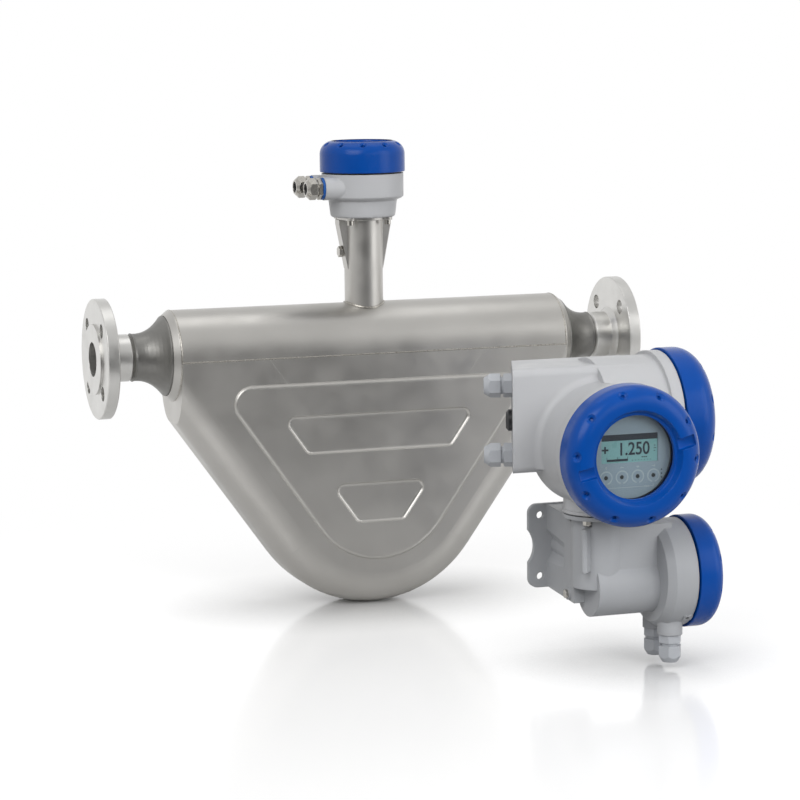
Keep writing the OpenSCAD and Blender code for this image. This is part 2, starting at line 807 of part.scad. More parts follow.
// Hollow round between the turret and the front of the left compartment
module turret_blend() intersection() {
    translate([0, 1, display_z]) rotate([90, 0, 0]) rotate_extrude() difference() {
        translate([turret_r - 2, 0]) square([turret_blend_r + 2, turret_blend_r + 1]);
        translate([turret_r + turret_blend_r, turret_blend_r + 1]) circle(turret_blend_r);
    }
    translate([-left_reach, -left_depth, left_z0 + 4])
        cube([left_reach + side_reach - 20, left_depth + 2, left_z1 - left_z0 - 8]);
}

module converter_housing() color(light_grey) difference() {
    union() {
        at_converter() {
            left_box(0, 60);
            translate([0, 30, display_z]) rotate([90, 0, 0])
                cylinder(r = turret_r, h = 30 + display_reach);
            turret_blend();
            translate([0, side_back, side_z]) along_x() cylinder(r = side_r, h = side_reach);
            translate([0, 0, joint_z]) cylinder(r = conv_neck_r, h = neck_z1 - joint_z);
            translate([0, 0, joint_z]) cylinder(r = conv_neck_r + 1, h = 4);
        }
        at_display() translate([0, 0, -14]) cylinder(r = cover_r - 2.5, h = 14);
        at_side() translate([0, 0, -14]) cylinder(r = cover_r - 2.5, h = 14);
    }
    at_display() {
        translate([0, 0, -spigot_l - 4]) cylinder(r = mouth_r, h = spigot_l + 5);
        translate([0, 0, -display_reach - 8])
            cylinder(r = turret_r - cast_wall - 2, h = display_reach + 9);
    }
    at_side() {
        translate([0, 0, -spigot_l - 6]) cylinder(r = mouth_r, h = spigot_l + 7);
        translate([0, 0, -18]) cylinder(r = side_r - cast_wall - 2, h = 19);
    }
    at_converter() {
        intersection() {
            left_box(cast_wall, side_reach);
            translate([-200, terminal_wall_y, -200]) cube([400, 200, 400]);
        }
        translate([0, 0, joint_z - 1]) cylinder(r = 14, h = 70);
        for (x = [-1, 1], y = [-1, 1])
            translate([x * joint_screw_xy, y * joint_screw_xy, joint_z - 1])
                cylinder(r = 3.1, h = 13);
    }
    for (i = [-1 : 1]) at_entry_face() translate([i * conv_entry_pitch, 0, -12])
        cylinder(d = gland_thread_d, h = 14);
    lock_screw_holes();
}

module display_cover_seal() color(black) at_display() cover_seal(cover_r, cover_rim);

window_r = window_d / 2;
window_t = 7;
window_seat = 5;
window_lip = 5;
display_recess = 9;
window_z = display_cover_h - seal_h - display_recess - window_lip - window_t;

module display_cover() color(blue) at_display() translate([0, 0, seal_h]) difference() {
    screw_cover(cover_r, display_cover_h - seal_h, cover_s, cover_rim,
                window_r + 1, display_recess, window_lip + window_t, window_r - 2);
    translate([0, 0, window_z - 1]) cylinder(r = window_r + window_seat, h = window_t + 1);
}

module display_window() color("#c8d8e0", 0.4) at_display()
    translate([0, 0, seal_h + window_z + braze_gap])
        cylinder(r = window_r + window_seat - braze_gap, h = window_t - 2 * braze_gap);

module window_ring() color(black) at_display()
    translate([0, 0, seal_h + window_z - 3]) difference() {
        cylinder(r = spigot_r(cover_r, cover_rim) - spigot_wall - braze_gap, h = 3);
        translate([0, 0, -1]) cylinder(r = window_r - 1, h = 5);
    }

bezel_t = 2;
bezel_z = seal_h + window_z - 3 - fit_gap - bezel_t - 1;
lcd_w = 68;
lcd_h = 40;
lcd_up = 8;

module display_bezel() color("#6f7983") at_display() translate([0, 0, bezel_z]) difference() {
    cylinder(r = window_r + 4, h = bezel_t);
    translate([-lcd_w / 2, lcd_up - lcd_h / 2 + 4, -1]) cube([lcd_w, lcd_h - 8, bezel_t + 2]);
    for (i = [-1.5 : 1.5]) translate([i * 19, -24, -1]) cylinder(r = 2.5, h = bezel_t + 2);
}

module lcd_panel() color("#9cc4c4") at_display()
    translate([-lcd_w / 2 - 3, lcd_up - lcd_h / 2, bezel_z - 4]) cube([lcd_w + 6, lcd_h, 4]);

module display_board() color(board_green) at_display() translate([0, 0, bezel_z - 6]) {
    difference() {
        translate([0, 0, 0]) cylinder(r = window_r + 2, h = 2);
        for (a = [45 : 90 : 315]) rotate(a) translate([window_r - 4, 0, -1])
            cylinder(r = 1.7, h = 4);
    }
    for (i = [-1.5 : 1.5]) translate([i * 19 - 3, -27, 2]) cube([6, 6, 3]);
}

// Potted electronics can that fills the display compartment behind the board
module electronics_module() color("#3a3d42") at_display() {
    r = turret_r - cast_wall - 3;
    floor_z = -display_reach - 8;
    top_z = -spigot_l - 3;
    translate([0, 0, floor_z]) cylinder(r = r, h = top_z - floor_z);
    for (a = [45 : 90 : 315]) rotate(a) translate([window_r - 4, 0, top_z - 1])
        cylinder(r = 4, h = bezel_z - 6 - top_z + 1);
}

module converter_terminals() color(board_green) at_converter()
    translate([18, terminal_wall_y, side_z - 24]) difference() {
        union() {
            cube([5, 58, 52]);
            for (i = [0 : 6]) translate([5, 2 + i * 8, 8]) cube([14, 6.5, 36]);
        }
        for (i = [0 : 6], z = [16, 36]) translate([10, 5.25 + i * 8, z])
            along_x() cylinder(r = 2, h = 12);
    }

module side_cover_seal() color(black) at_side() cover_seal(cover_r, cover_rim);

module side_cover() color(blue) at_side() translate([0, 0, seal_h])
    screw_cover(cover_r, side_cover_h - seal_h, cover_s + 4, cover_rim, 46, 8, 6, 0);

module converter_gland_bodies() color(plastic_grey)
    for (i = [-1, 1]) at_entry_face() translate([i * conv_entry_pitch, 0, 0]) gland_body(plastic_gland);

module converter_gland_nuts() color(plastic_grey)
    for (i = [-1, 1]) at_entry_face() translate([i * conv_entry_pitch, 0, 0]) gland_nut(plastic_gland);

module converter_gland_inserts() color(black)
    for (i = [-1, 1]) at_entry_face() translate([i * conv_entry_pitch, 0, 0]) gland_insert(plastic_gland);

module blind_plug() color(black) at_entry_face() difference() {
    union() {
        translate([0, 0, -gland_thread_l])
            cylinder(r = gland_thread_d / 2 - braze_gap, h = gland_thread_l);
        cylinder(r = gland_af / 2 + 0.5, h = 4);
        translate([0, 0, 4]) cylinder(r1 = gland_af / 2 + 0.5, r2 = gland_af / 2 - 3, h = 3);
    }
    translate([0, 0, 3]) cylinder(r = 5, h = 6, $fn = 6);
}

gasket_t = 1.5;
joint_boss_h = 4.5;
joint_nut_h = 5;

module joint_gasket() color(black) at_converter() translate([0, 0, joint_z - gasket_t])
    difference() {
        cylinder(r = 26, h = gasket_t);
        translate([0, 0, -1]) cylinder(r = 14, h = gasket_t + 2);
    }

// Studs of the converter housing, each with its nut under the base's boss
module converter_screws() color(nickel) at_converter()
    for (x = [-1, 1], y = [-1, 1])
        translate([x * joint_screw_xy, y * joint_screw_xy, joint_z - gasket_t - joint_boss_h]) {
            translate([0, 0, -joint_nut_h - 1])
                cylinder(r = 3, h = joint_nut_h + 1 + gasket_t + joint_boss_h + 11);
            translate([0, 0, -joint_nut_h]) cylinder(r = 5, h = joint_nut_h, $fn = 6);
        }

// -------------------------------------------------------------- wall base

base_r = base_cover_d / 2;
base_rim = 11;
base_mouth_r = base_r - base_rim;
base_s = 15;
pillar_r = 31;
chamber_r = 35;
chamber_z = -230;
chamber_x0 = -13;
ring_l = 36;
base_entry_in = 18;
base_entry_x = base_reach - base_entry_in;
base_entry_z = -288.5;
plate_z = -202;
plate_t = 6;
base_web_w = 54;
base_lock_a = 42;

// Face of the earthing screw's pad, Z outwards
module at_earth_screw()
    translate([-pillar_r + 4, 29, plate_z - plate_h / 2 + 9]) rotate([0, -90, 0]) children();

// Hourglass outline of the wall plate, seen along Y
module plate_outline() {
    ear_r = 11;
    waist = 7;
    difference() {
        union() {
            translate([-plate_w / 2 + ear_r, -plate_h / 2])
                square([plate_w - 2 * ear_r, plate_h]);
            translate([-plate_w / 2, -plate_h / 2 + ear_r])
                square([plate_w, plate_h - 2 * ear_r]);
            for (x = [-1, 1], z = [-1, 1])
                translate([x * (plate_w / 2 - ear_r), z * (plate_h / 2 - ear_r)])
                    circle(ear_r);
        }
        for (x = [-1, 1]) translate([x * (plate_w / 2 + 30 - waist), 0]) circle(30);
        for (x = [-1, 1], z = [-1, 1])
            translate([x * plate_hole_x / 2, z * plate_hole_z / 2]) circle(d = plate_hole_d);
    }
}

// Arm between plate and pillar: wide at its top and bottom, hollowed down each
// side, with a round core
module base_arm() {
    arm_w = 17;
    hollow_r = 26;
    hollow_x = arm_w + 17;
    translate([0, wall_back - plate_t, plate_z]) rotate([90, 0, 0])
        cylinder(r1 = 12, r2 = 24, h = wall_back - plate_t - 5);
    difference() {
        translate([0, 0, plate_z - plate_h / 2 + 1])
            linear_extrude(plate_h - 2) polygon([
                [-arm_w, wall_back - plate_t], [arm_w, wall_back - plate_t],
                [pillar_r - 5, 10], [5 - pillar_r, 10]
            ]);
        for (m = [0, 1]) mirror([m, 0, 0])
            translate([hollow_x, wall_back + 1, plate_z]) rotate([90, 0, 8])
                cylinder(r = hollow_r, h = 72);
    }
}

// Rib down the front left of the pillar, below one of the joint's nuts
module base_rib() {
    rib_xy = 29;
    rib_z0 = chamber_z + 22;
    rib_h = joint_z - gasket_t - joint_boss_h - joint_nut_h - 4 - rib_z0;
    translate([-rib_xy, -rib_xy, rib_z0]) {
        cylinder(r = 3.7, h = rib_h);
        rotate(45) translate([0, -3, 0]) cube([rib_xy - 14, 6, rib_h]);
    }
}

// Web between pillar and cover ring, above the cable chamber
module base_web() translate([0, -base_web_w / 2, chamber_z])
    cube([base_reach - ring_l / 2, base_web_w,
          joint_z - gasket_t - joint_boss_h - joint_nut_h - 4 - chamber_z]);

module base_housing() color(base_grey) difference() {
    at_converter() union() {
        translate([0, wall_back, plate_z]) rotate([90, 0, 0])
            linear_extrude(plate_t) plate_outline();
        base_arm();
        translate([0, 0, chamber_z]) cylinder(r = pillar_r, h = joint_z - gasket_t - chamber_z);
        translate([0, 0, joint_z - gasket_t - joint_boss_h])
            cylinder(r = conv_neck_r + 1, h = joint_boss_h);
        base_rib();
        base_web();
        at_earth_screw() translate([0, 0, -16]) cylinder(r = 7, h = 16);
        translate([chamber_x0, 0, chamber_z]) along_x()
            cylinder(r = chamber_r, h = base_reach - chamber_x0 - 10);
        translate([base_reach - ring_l, 0, base_z]) along_x()
            cylinder(r1 = base_r - 9, r2 = base_r - 2.5, h = 9);
        translate([base_reach - ring_l + 9, 0, base_z]) along_x()
            cylinder(r = base_r - 2.5, h = ring_l - 9);
        translate([base_reach - 11, 0, base_z]) rotate([-base_lock_a, 0, 0])
            translate([0, -4.5, -base_r + 1.5]) cube([11, 9, 8.5]);
        for (y = [-1, 1]) translate([base_entry_x, y * base_entry_pitch / 2, base_entry_z])
            cylinder(r = 14.5, h = 44.5);
    }
    at_converter() {
        translate([base_reach - ring_l + cast_wall + 2, 0, base_z]) along_x()
            cylinder(r = base_mouth_r, h = ring_l);
        translate([chamber_x0 + cast_wall, 0, chamber_z]) along_x()
            cylinder(r = chamber_r - cast_wall, h = base_reach);
        translate([0, 0, chamber_z]) cylinder(r = 14, h = 100);
        at_earth_screw() translate([0, 0, -8]) cylinder(r = 2.5, h = 9);
        for (x = [-1, 1], y = [-1, 1])
            translate([x * joint_screw_xy, y * joint_screw_xy, 0]) {
                translate([0, 0, joint_z - joint_boss_h - 3])
                    cylinder(r = 3.1, h = joint_boss_h + 6);
                translate([0, 0, joint_z - gasket_t - joint_boss_h - joint_nut_h - 3])
                    cylinder(r = 6, h = joint_nut_h + 3);
            }
        for (y = [-1, 1])
            translate([base_entry_x, y * base_entry_pitch / 2, base_entry_z - 1])
                cylinder(d = gland_thread_d, h = 40);
    }
    lock_screw_holes();
}

module base_terminals() color(board_green) at_converter()
    translate([chamber_x0 + cast_wall, -22, chamber_z - 12]) difference() {
        union() {
            cube([4, 44, 26]);
            for (i = [0 : 4]) translate([4, 2.5 + i * 8, 4]) cube([12, 6.5, 18]);
        }
        for (i = [0 : 4]) translate([8, 5.75 + i * 8, 13]) along_x() cylinder(r = 2, h = 10);
    }

module base_cover_seal() color(black) at_base_cover() cover_seal(base_r, base_rim);

module base_cover() color(blue) at_base_cover() translate([0, 0, seal_h])
    screw_cover(base_r, base_cover_h - seal_h, base_s, base_rim, 38, 7, 5, 0);

module at_base_glands() at_converter()
    for (y = [-1, 1]) translate([base_entry_x, y * base_entry_pitch / 2, base_entry_z])
        rotate([180, 0, 0]) children();

module base_gland_bodies() color(plastic_grey) at_base_glands() gland_body(plastic_gland);
module base_gland_nuts() color(plastic_grey) at_base_glands() gland_nut(plastic_gland);
module base_gland_inserts() color(black) at_base_glands() gland_insert(plastic_gland);

// Small grub screws that lock each converter cover, in the housing's edge
lock_r = 2;

module at_lock_screws() {
    at_display() rotate(-60) translate([cover_r - 8, 0, -7]) children();
    at_side() rotate(-30) translate([cover_r - 8, 0, -7]) children();
    at_base_cover() rotate(-base_lock_a) translate([base_r - 7, 0, -6]) children();
}

module lock_screw_holes() at_lock_screws() rotate([0, 90, 0])
    cylinder(r = lock_r + 0.1, h = 20);

module cover_lock_screws() color(black) at_lock_screws() rotate([0, 90, 0])
    cylinder(r = lock_r, h = 5);

module earth_screws() color(nickel) at_converter() at_earth_screw() {
    translate([0, 0, -6]) cylinder(r = 2.4, h = 7);
    cylinder(r = 5, h = 3);
}

// ------------------------------------------------------------------ parts

inlet_flange();
outlet_flange();
inlet_manifold();
outlet_manifold();
inlet_end_ring();
outlet_end_ring();
casing_top_shell();
casing_front_pan();
casing_rear_pan();
front_measuring_tube();
rear_measuring_tube();
tube_brace_plates();
drive_coil();
drive_magnet();
pickoff_coils();
pickoff_magnets();
temperature_sensor();
cable_feedthrough();
stem();
stem_screws();
stem_plug();
junction_box();
junction_box_terminals();
junction_box_seal();
junction_box_cover();
sensor_gland_seals();
sensor_gland_bodies();
sensor_gland_nuts();
sensor_gland_inserts();
converter_housing();
display_cover();
display_window();
window_ring();
display_cover_seal();
display_bezel();
lcd_panel();
display_board();
electronics_module();
converter_terminals();
side_cover();
side_cover_seal();
converter_gland_bodies();
converter_gland_nuts();
converter_gland_inserts();
blind_plug();
joint_gasket();
converter_screws();
base_housing();
base_terminals();
base_cover();
base_cover_seal();
base_gland_bodies();
base_gland_nuts();
base_gland_inserts();
cover_lock_screws();
earth_screws();
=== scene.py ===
"""Coriolis flow meter and its signal converter, dressed for a plain studio view."""

from __future__ import annotations

import logging
import math
from dataclasses import dataclass, field
from enum import Enum

import bpy
from mathutils import Matrix, Vector

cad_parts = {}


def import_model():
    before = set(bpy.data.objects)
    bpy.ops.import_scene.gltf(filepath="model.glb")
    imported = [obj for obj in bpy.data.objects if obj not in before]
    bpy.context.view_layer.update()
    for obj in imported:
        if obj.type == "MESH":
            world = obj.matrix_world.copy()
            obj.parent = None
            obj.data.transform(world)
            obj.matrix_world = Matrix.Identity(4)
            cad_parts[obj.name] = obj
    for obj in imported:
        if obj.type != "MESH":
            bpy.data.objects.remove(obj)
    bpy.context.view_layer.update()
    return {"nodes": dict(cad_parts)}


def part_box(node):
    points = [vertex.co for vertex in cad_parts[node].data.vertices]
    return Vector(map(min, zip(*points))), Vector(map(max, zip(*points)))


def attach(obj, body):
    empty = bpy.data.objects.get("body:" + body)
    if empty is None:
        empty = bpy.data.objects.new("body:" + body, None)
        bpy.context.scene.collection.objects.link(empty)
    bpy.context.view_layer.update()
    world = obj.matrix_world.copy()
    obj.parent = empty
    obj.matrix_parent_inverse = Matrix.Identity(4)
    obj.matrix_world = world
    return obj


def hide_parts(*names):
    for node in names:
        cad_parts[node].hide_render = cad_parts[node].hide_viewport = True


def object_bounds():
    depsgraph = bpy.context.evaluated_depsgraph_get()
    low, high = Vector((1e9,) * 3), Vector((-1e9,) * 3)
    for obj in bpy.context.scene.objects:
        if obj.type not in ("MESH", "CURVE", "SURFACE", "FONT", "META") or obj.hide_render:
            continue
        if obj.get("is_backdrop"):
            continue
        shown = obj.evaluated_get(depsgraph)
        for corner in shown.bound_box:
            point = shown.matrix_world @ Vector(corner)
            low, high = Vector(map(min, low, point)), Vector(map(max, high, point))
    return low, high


LOG = logging.getLogger("flow_meter")
MM = 0.001
METER = "meter"
# Vertices of a turned piece that lie closer than this, in millimetres, are one
MERGE_GAP = 0.02
# The dark and the light end of a noise pattern, where most of it lies
NOISE_SPAN = (0.3, 0.7)
# The radius of a ring that closes a turned piece on its axis, in millimetres
POINT = 0.01
# Makes the rings of a turned surface about two grains wide
RING_STRETCH = 6.5


# ---------------------------------------------------------------- materials


def linear(colour: str) -> tuple[float, float, float, float]:
    """Turns an sRGB hex colour into linear light.

    Args:
        colour: The colour as "#rrggbb".

    Returns:
        Red, green, blue and full alpha.
    """
    parts = [int(colour[i : i + 2], 16) / 255 for i in (1, 3, 5)]
    red, green, blue = (
        p / 12.92 if p <= 0.04045 else ((p + 0.055) / 1.055) ** 2.4 for p in parts
    )
    return red, green, blue, 1.0


def empty_tree(owner: bpy.types.Material | bpy.types.World) -> bpy.types.NodeTree:
    """Turns nodes on and clears them.

    Args:
        owner: The material or the world.

    Returns:
        Its empty node tree.
    """
    owner.use_nodes = True
    owner.node_tree.nodes.clear()
    return owner.node_tree


def add_node(
    tree: bpy.types.NodeTree,
    kind: str,
    inputs: dict[str | int, object] | None = None,
    **settings: object,
) -> bpy.types.Node:
    """Adds one node with its settings, values and links.

    Args:
        tree: The node tree that gets the node.
        kind: The node's type.
        inputs: A value for each named socket, or the socket that feeds it.
        settings: The node's own properties.

    Returns:
        The new node.
    """
    node = tree.nodes.new(kind)
    for name, value in settings.items():
        setattr(node, name, value)
    for name, value in (inputs or {}).items():
        socket = node.inputs[name]
        if isinstance(value, bpy.types.NodeSocket):
            tree.links.new(value, socket)
        else:
            socket.default_value = value
    return node


def ramp(
    tree: bpy.types.NodeTree,
    value: bpy.types.NodeSocket,
    span: tuple[float, float] = (0.0, 1.0),
    to: tuple[float, float] = (0.0, 1.0),
    smooth: bool = False,
) -> bpy.types.NodeSocket:
    """Maps a value from one span to another.

    Args:
        tree: The node tree.
        value: The socket with the value.
        span: Where the value starts and ends.
        to: What it becomes there.
        smooth: Whether it eases in and out.

    Returns:
        The socket with the new value.
    """
    ends = {"From Min": span[0], "From Max": span[1], "To Min": to[0], "To Max": to[1]}
    return add_node(
        tree,
        "ShaderNodeMapRange",
        {"Value": value, **ends},
        interpolation_type="SMOOTHSTEP" if smooth else "LINEAR",
    ).outputs[0]


class Grain(Enum):
    """How the fine relief of a surface lies."""

    EVEN = "even"
    BRUSHED = "brushed"
    TURNED = "turned"


@dataclass(frozen=True)
class Finish:
    """One real finish: its colour, gloss and relief, with sizes in millimetres."""

    name: str
    colour: str
    second: str
    metallic: float = 0.0
    roughness: float = 0.4
    roughness_spread: float = 0.06
    specular: float = 0.5
    blotch_mm: float = 60.0
    blotch_share: float = 0.5
    gloss_share: float = 0.4
    grain: Grain = Grain.EVEN
    grain_mm: float = 1.2
    grain_height_mm: float = 0.02
    edge_mm: float = 0.6
    _made: dict = field(default_factory=dict, repr=False, compare=False, hash=False)

    def _clouds(
        self,
        tree: bpy.types.NodeTree,
        place: bpy.types.NodeSocket,
        size_mm: float,
        low: float,
        high: float,
        detail: float = 2.0,
    ) -> bpy.types.NodeSocket:
        """Makes a soft noise that runs between two values.

        Args:
            tree: The material's tree.
            place: The socket with object coordinates.
            size_mm: The size of its clouds, in millimetres.
            low: The value in its dark clouds.
            high: The value in its light clouds.
            detail: The fineness of its edges.

        Returns:
            The socket with the value.
        """
        noise = add_node(
            tree,
            "ShaderNodeTexNoise",
            {"Vector": place, "Scale": 1 / (size_mm * MM), "Detail": detail},
        )
        return ramp(tree, noise.outputs["Fac"], NOISE_SPAN, (low, high))

    def _relief(
        self, tree: bpy.types.NodeTree, place: bpy.types.NodeSocket
    ) -> bpy.types.NodeSocket:
        """Makes the fine height pattern.

        Args:
            tree: The material's tree.
            place: The socket with object coordinates.

        Returns:
            The socket with the height from 0 to 1.
        """
        scale = 1 / (self.grain_mm * MM)
        if self.grain is Grain.TURNED:
            rings = add_node(
                tree,
                "ShaderNodeTexWave",
                {
                    "Vector": place,
                    "Scale": scale / RING_STRETCH,
                    "Distortion": 0.4,
                    "Detail": 1.0,
                },
                wave_type="RINGS",
                rings_direction="X",
            )
            return rings.outputs["Fac"]
        if self.grain is Grain.BRUSHED:
            lay = add_node(
                tree, "ShaderNodeMapping", {"Vector": place, "Scale": (0.05, 1.0, 1.0)}
            )
            place = lay.outputs["Vector"]
        noise = add_node(
            tree,
            "ShaderNodeTexNoise",
            {"Vector": place, "Scale": scale, "Detail": 3.0, "Roughness": 0.6},
        )
        return noise.outputs["Fac"]

    def build(self) -> bpy.types.Material:
        """Makes the material, once.

        Returns:
            The material with its node tree.
        """
        if "material" in self._made:
            return self._made["material"]
        material = bpy.data.materials.new(self.name)
        tree = empty_tree(material)
        place = add_node(tree, "ShaderNodeTexCoord").outputs["Object"]
        share = self._clouds(
            tree, place, self.blotch_mm, 0.0, self.blotch_share, detail=4.0
        )
        colour = add_node(
            tree,
            "ShaderNodeMix",
            {0: share, 6: linear(self.colour), 7: linear(self.second)},
            data_type="RGBA",
        )
        gloss = self._clouds(
            tree,
            place,
            self.blotch_mm * self.gloss_share,
            self.roughness - self.roughness_spread,
            self.roughness + self.roughness_spread,
        )
        bevel = add_node(
            tree, "ShaderNodeBevel", {"Radius": self.edge_mm * MM}, samples=6
        )
        bump = add_node(
            tree,
            "ShaderNodeBump",
            {
                "Height": self._relief(tree, place),
                "Distance": self.grain_height_mm * MM,
                "Normal": bevel.outputs[0],
            },
        )
        shader = add_node(
            tree,
            "ShaderNodeBsdfPrincipled",
            {
                "Base Color": colour.outputs[2],
                "Metallic": self.metallic,
                "Roughness": gloss,
                "Specular IOR Level": self.specular,
                "Normal": bump.outputs[0],
            },
        )
        add_node(tree, "ShaderNodeOutputMaterial", {"Surface": shader.outputs[0]})
        material.diffuse_color = linear(self.colour)
        self._made["material"] = material
        return material


# Pickled stainless sheet: satin, warm grey, with soft clouds left by the acid
PICKLED_SHEET = Finish(
    "pickled_stainless_sheet", "#c4c2be", "#b6b4b0", metallic=1.0, roughness=0.38,
    roughness_spread=0.05, blotch_mm=90, grain=Grain.BRUSHED, grain_mm=1.6,
    grain_height_mm=0.02, edge_mm=1.2,
)
# Forged stainless steel, pickled: dull, darker and without any tool marks
FORGED_STEEL = Finish(
    "forged_stainless_steel", "#8b8a87", "#7f7e7b", metallic=1.0, roughness=0.44,
    blotch_mm=30, grain=Grain.EVEN, grain_mm=1.4, grain_height_mm=0.03, edge_mm=1.2,
)
# Turned stainless steel: fine rings from the lathe, satin and bright
TURNED_STEEL = Finish(
    "turned_stainless_steel", "#d6d5d2", "#cac9c6", metallic=1.0, roughness=0.34,
    blotch_mm=40, grain=Grain.TURNED, grain_mm=2.4, grain_height_mm=0.03, edge_mm=0.8,
)
# Drawn tube: smooth and bright
DRAWN_TUBE = Finish(
    "drawn_stainless_tube", "#b9b8b5", "#a8a7a4", metallic=1.0, roughness=0.22,
    grain=Grain.BRUSHED, grain_mm=1.0, grain_height_mm=0.01,
)
# Lacquered copper winding
COPPER_WINDING = Finish(
    "lacquered_copper_winding", "#b06a3a", "#8f4f28", metallic=0.8, roughness=0.35,
    grain_mm=1.0, grain_height_mm=0.1,
)
# Nickel plate over brass: bright, slightly warm
NICKEL_PLATE = Finish(
    "nickel_plate", "#bdbab4", "#a9a69f", metallic=1.0, roughness=0.2,
    blotch_mm=12, grain_mm=0.8, grain_height_mm=0.008, edge_mm=0.7,
)
# Powder coat on die-cast aluminium: even, slightly glossy, fine orange peel
LIGHT_GREY_COAT = Finish(
    "light_grey_powder_coat", "#bfc0c2", "#b7b8bb", roughness=0.34, specular=0.3,
    grain_mm=2.2, grain_height_mm=0.05, edge_mm=2.0,
)
BASE_GREY_COAT = Finish(
    "base_grey_powder_coat", "#aeb0b3", "#a5a7ab", roughness=0.38, specular=0.3,
    grain_mm=2.2, grain_height_mm=0.06, edge_mm=2.0,
)
# Gloss lacquer on die-cast aluminium
BLUE_LACQUER = Finish(
    "blue_gloss_lacquer", "#0049a1", "#004395", roughness=0.24, specular=0.22,
    roughness_spread=0.03, grain_mm=3.0, grain_height_mm=0.04, edge_mm=1.5,
)
# Moulded rubber: matt
BLUE_RUBBER = Finish("blue_moulded_rubber", "#0a56a5", "#084a90", roughness=0.5)
BLACK_RUBBER = Finish("black_moulded_rubber", "#17171a", "#202023", roughness=0.55)
# Moulded plastics: slightly glossy, with a fine mould texture
GLAND_PLASTIC = Finish(
    "pale_grey_polyamide", "#b4b7bc", "#abaeb3", roughness=0.36, grain_mm=0.9,
    grain_height_mm=0.02, edge_mm=0.8,
)
BLACK_PLASTIC = Finish("black_polyamide", "#1a1a1d", "#242427", roughness=0.4)
TERMINAL_GREEN = Finish("green_terminal_plastic", "#2f6b46", "#2a603f", roughness=0.45)
# Fired ceramic of the temperature sensor
CERAMIC_WHITE = Finish("white_ceramic", "#d6d5d0", "#c9c8c2", roughness=0.4)
# Printed polyester foil in front of the display's keys
FACEPLATE_GREY = Finish(
    "grey_front_foil", "#a3adb9", "#9ea8b4", roughness=0.42, grain_mm=0.6,
    grain_height_mm=0.01, edge_mm=0.3,
)
# Liquid crystal display: smooth field, dark figures
LCD_FIELD = Finish(
    "lcd_field", "#93bfc0", "#8db9ba", roughness=0.3, blotch_mm=30, edge_mm=0.1,
    grain_height_mm=0.0,
)
LCD_INK = Finish("lcd_ink", "#1a2030", "#1e2438", roughness=0.4, grain_height_mm=0.0)
# Pale screen print round the keys
KEY_RING = Finish("pale_key_print", "#c5cbd0", "#bfc5ca", roughness=0.45)
# Weld bead: bright, with tarnish between its ripples
WELD_METAL = Finish(
    "weld_metal", "#bdbab3", "#99958c", metallic=1.0, roughness=0.28, blotch_mm=5,
    grain_mm=1.0, grain_height_mm=0.04, edge_mm=0.3,
)

# The CAD nodes that each finish dresses
FINISHED_NODES: dict[Finish, tuple[str, ...]] = {
    TURNED_STEEL: (
        "inlet_flange", "outlet_flange",
    ),
    FORGED_STEEL: (
        "inlet_manifold", "outlet_manifold",
    ),
    PICKLED_SHEET: (
        "inlet_end_ring", "outlet_end_ring", "casing_top_shell", "casing_front_pan",
        "casing_rear_pan", "stem",
    ),
    DRAWN_TUBE: (
        "front_measuring_tube", "rear_measuring_tube", "tube_brace_plates",
        "drive_magnet", "pickoff_magnets",
    ),
    COPPER_WINDING: (
        "drive_coil", "pickoff_coils",
    ),
    CERAMIC_WHITE: (
        "temperature_sensor",
    ),
    NICKEL_PLATE: (
        "cable_feedthrough", "stem_screws", "stem_plug", "sensor_gland_bodies",
        "sensor_gland_nuts", "converter_screws", "earth_screws",
    ),
    LIGHT_GREY_COAT: (
        "junction_box", "converter_housing",
    ),
    TERMINAL_GREEN: (
        "junction_box_terminals", "display_board", "converter_terminals",
        "base_terminals",
    ),
    BLACK_RUBBER: (
        "junction_box_seal", "sensor_gland_inserts", "display_cover_seal",
        "side_cover_seal", "converter_gland_inserts", "joint_gasket",
        "base_cover_seal", "base_gland_inserts",
    ),
    BLUE_LACQUER: (
        "junction_box_cover", "display_cover", "side_cover", "base_cover",
    ),
    BLUE_RUBBER: (
        "sensor_gland_seals",
    ),
    BLACK_PLASTIC: (
        "window_ring", "electronics_module", "blind_plug", "cover_lock_screws",
    ),
    FACEPLATE_GREY: (
        "display_bezel",
    ),
    LCD_FIELD: (
        "lcd_panel",
    ),
    GLAND_PLASTIC: (
        "converter_gland_bodies", "converter_gland_nuts", "base_gland_bodies",
        "base_gland_nuts",
    ),
    BASE_GREY_COAT: (
        "base_housing",
    ),
}


def window_glass() -> bpy.types.Material:
    """Makes the float glass of the display window.

    Returns:
        A clear glass that lets light through without bending it.
    """
    material = bpy.data.materials.new("clear_float_glass")
    tree = empty_tree(material)
    slant = add_node(tree, "ShaderNodeLayerWeight", {"Blend": 0.25})
    mirror = ramp(tree, slant.outputs["Facing"], to=(0.03, 0.4))
    clear = add_node(tree, "ShaderNodeBsdfTransparent", {"Color": linear("#f4f8f8")})
    gloss = add_node(
        tree, "ShaderNodeBsdfGlossy", {"Color": (1, 1, 1, 1), "Roughness": 0.03}
    )
    mixed = add_node(
        tree,
        "ShaderNodeMixShader",
        {0: mirror, 1: clear.outputs[0], 2: gloss.outputs[0]},
    )
    add_node(tree, "ShaderNodeOutputMaterial", {"Surface": mixed.outputs[0]})
    return material


def dress_node(node: bpy.types.Object, material: bpy.types.Material) -> None:
    """Gives every material slot of an object one material.

    Args:
        node: The object, a CAD node or a new piece.
        material: The material.
    """
    if not node.material_slots:
        node.data.materials.append(material)
    for slot in node.material_slots:
        slot.material = material


# ------------------------------------------------------------ mesh making


def fresh() -> None:
    """Deselects everything, so that an operator acts only on what comes next."""
    bpy.ops.object.select_all(action="DESELECT")


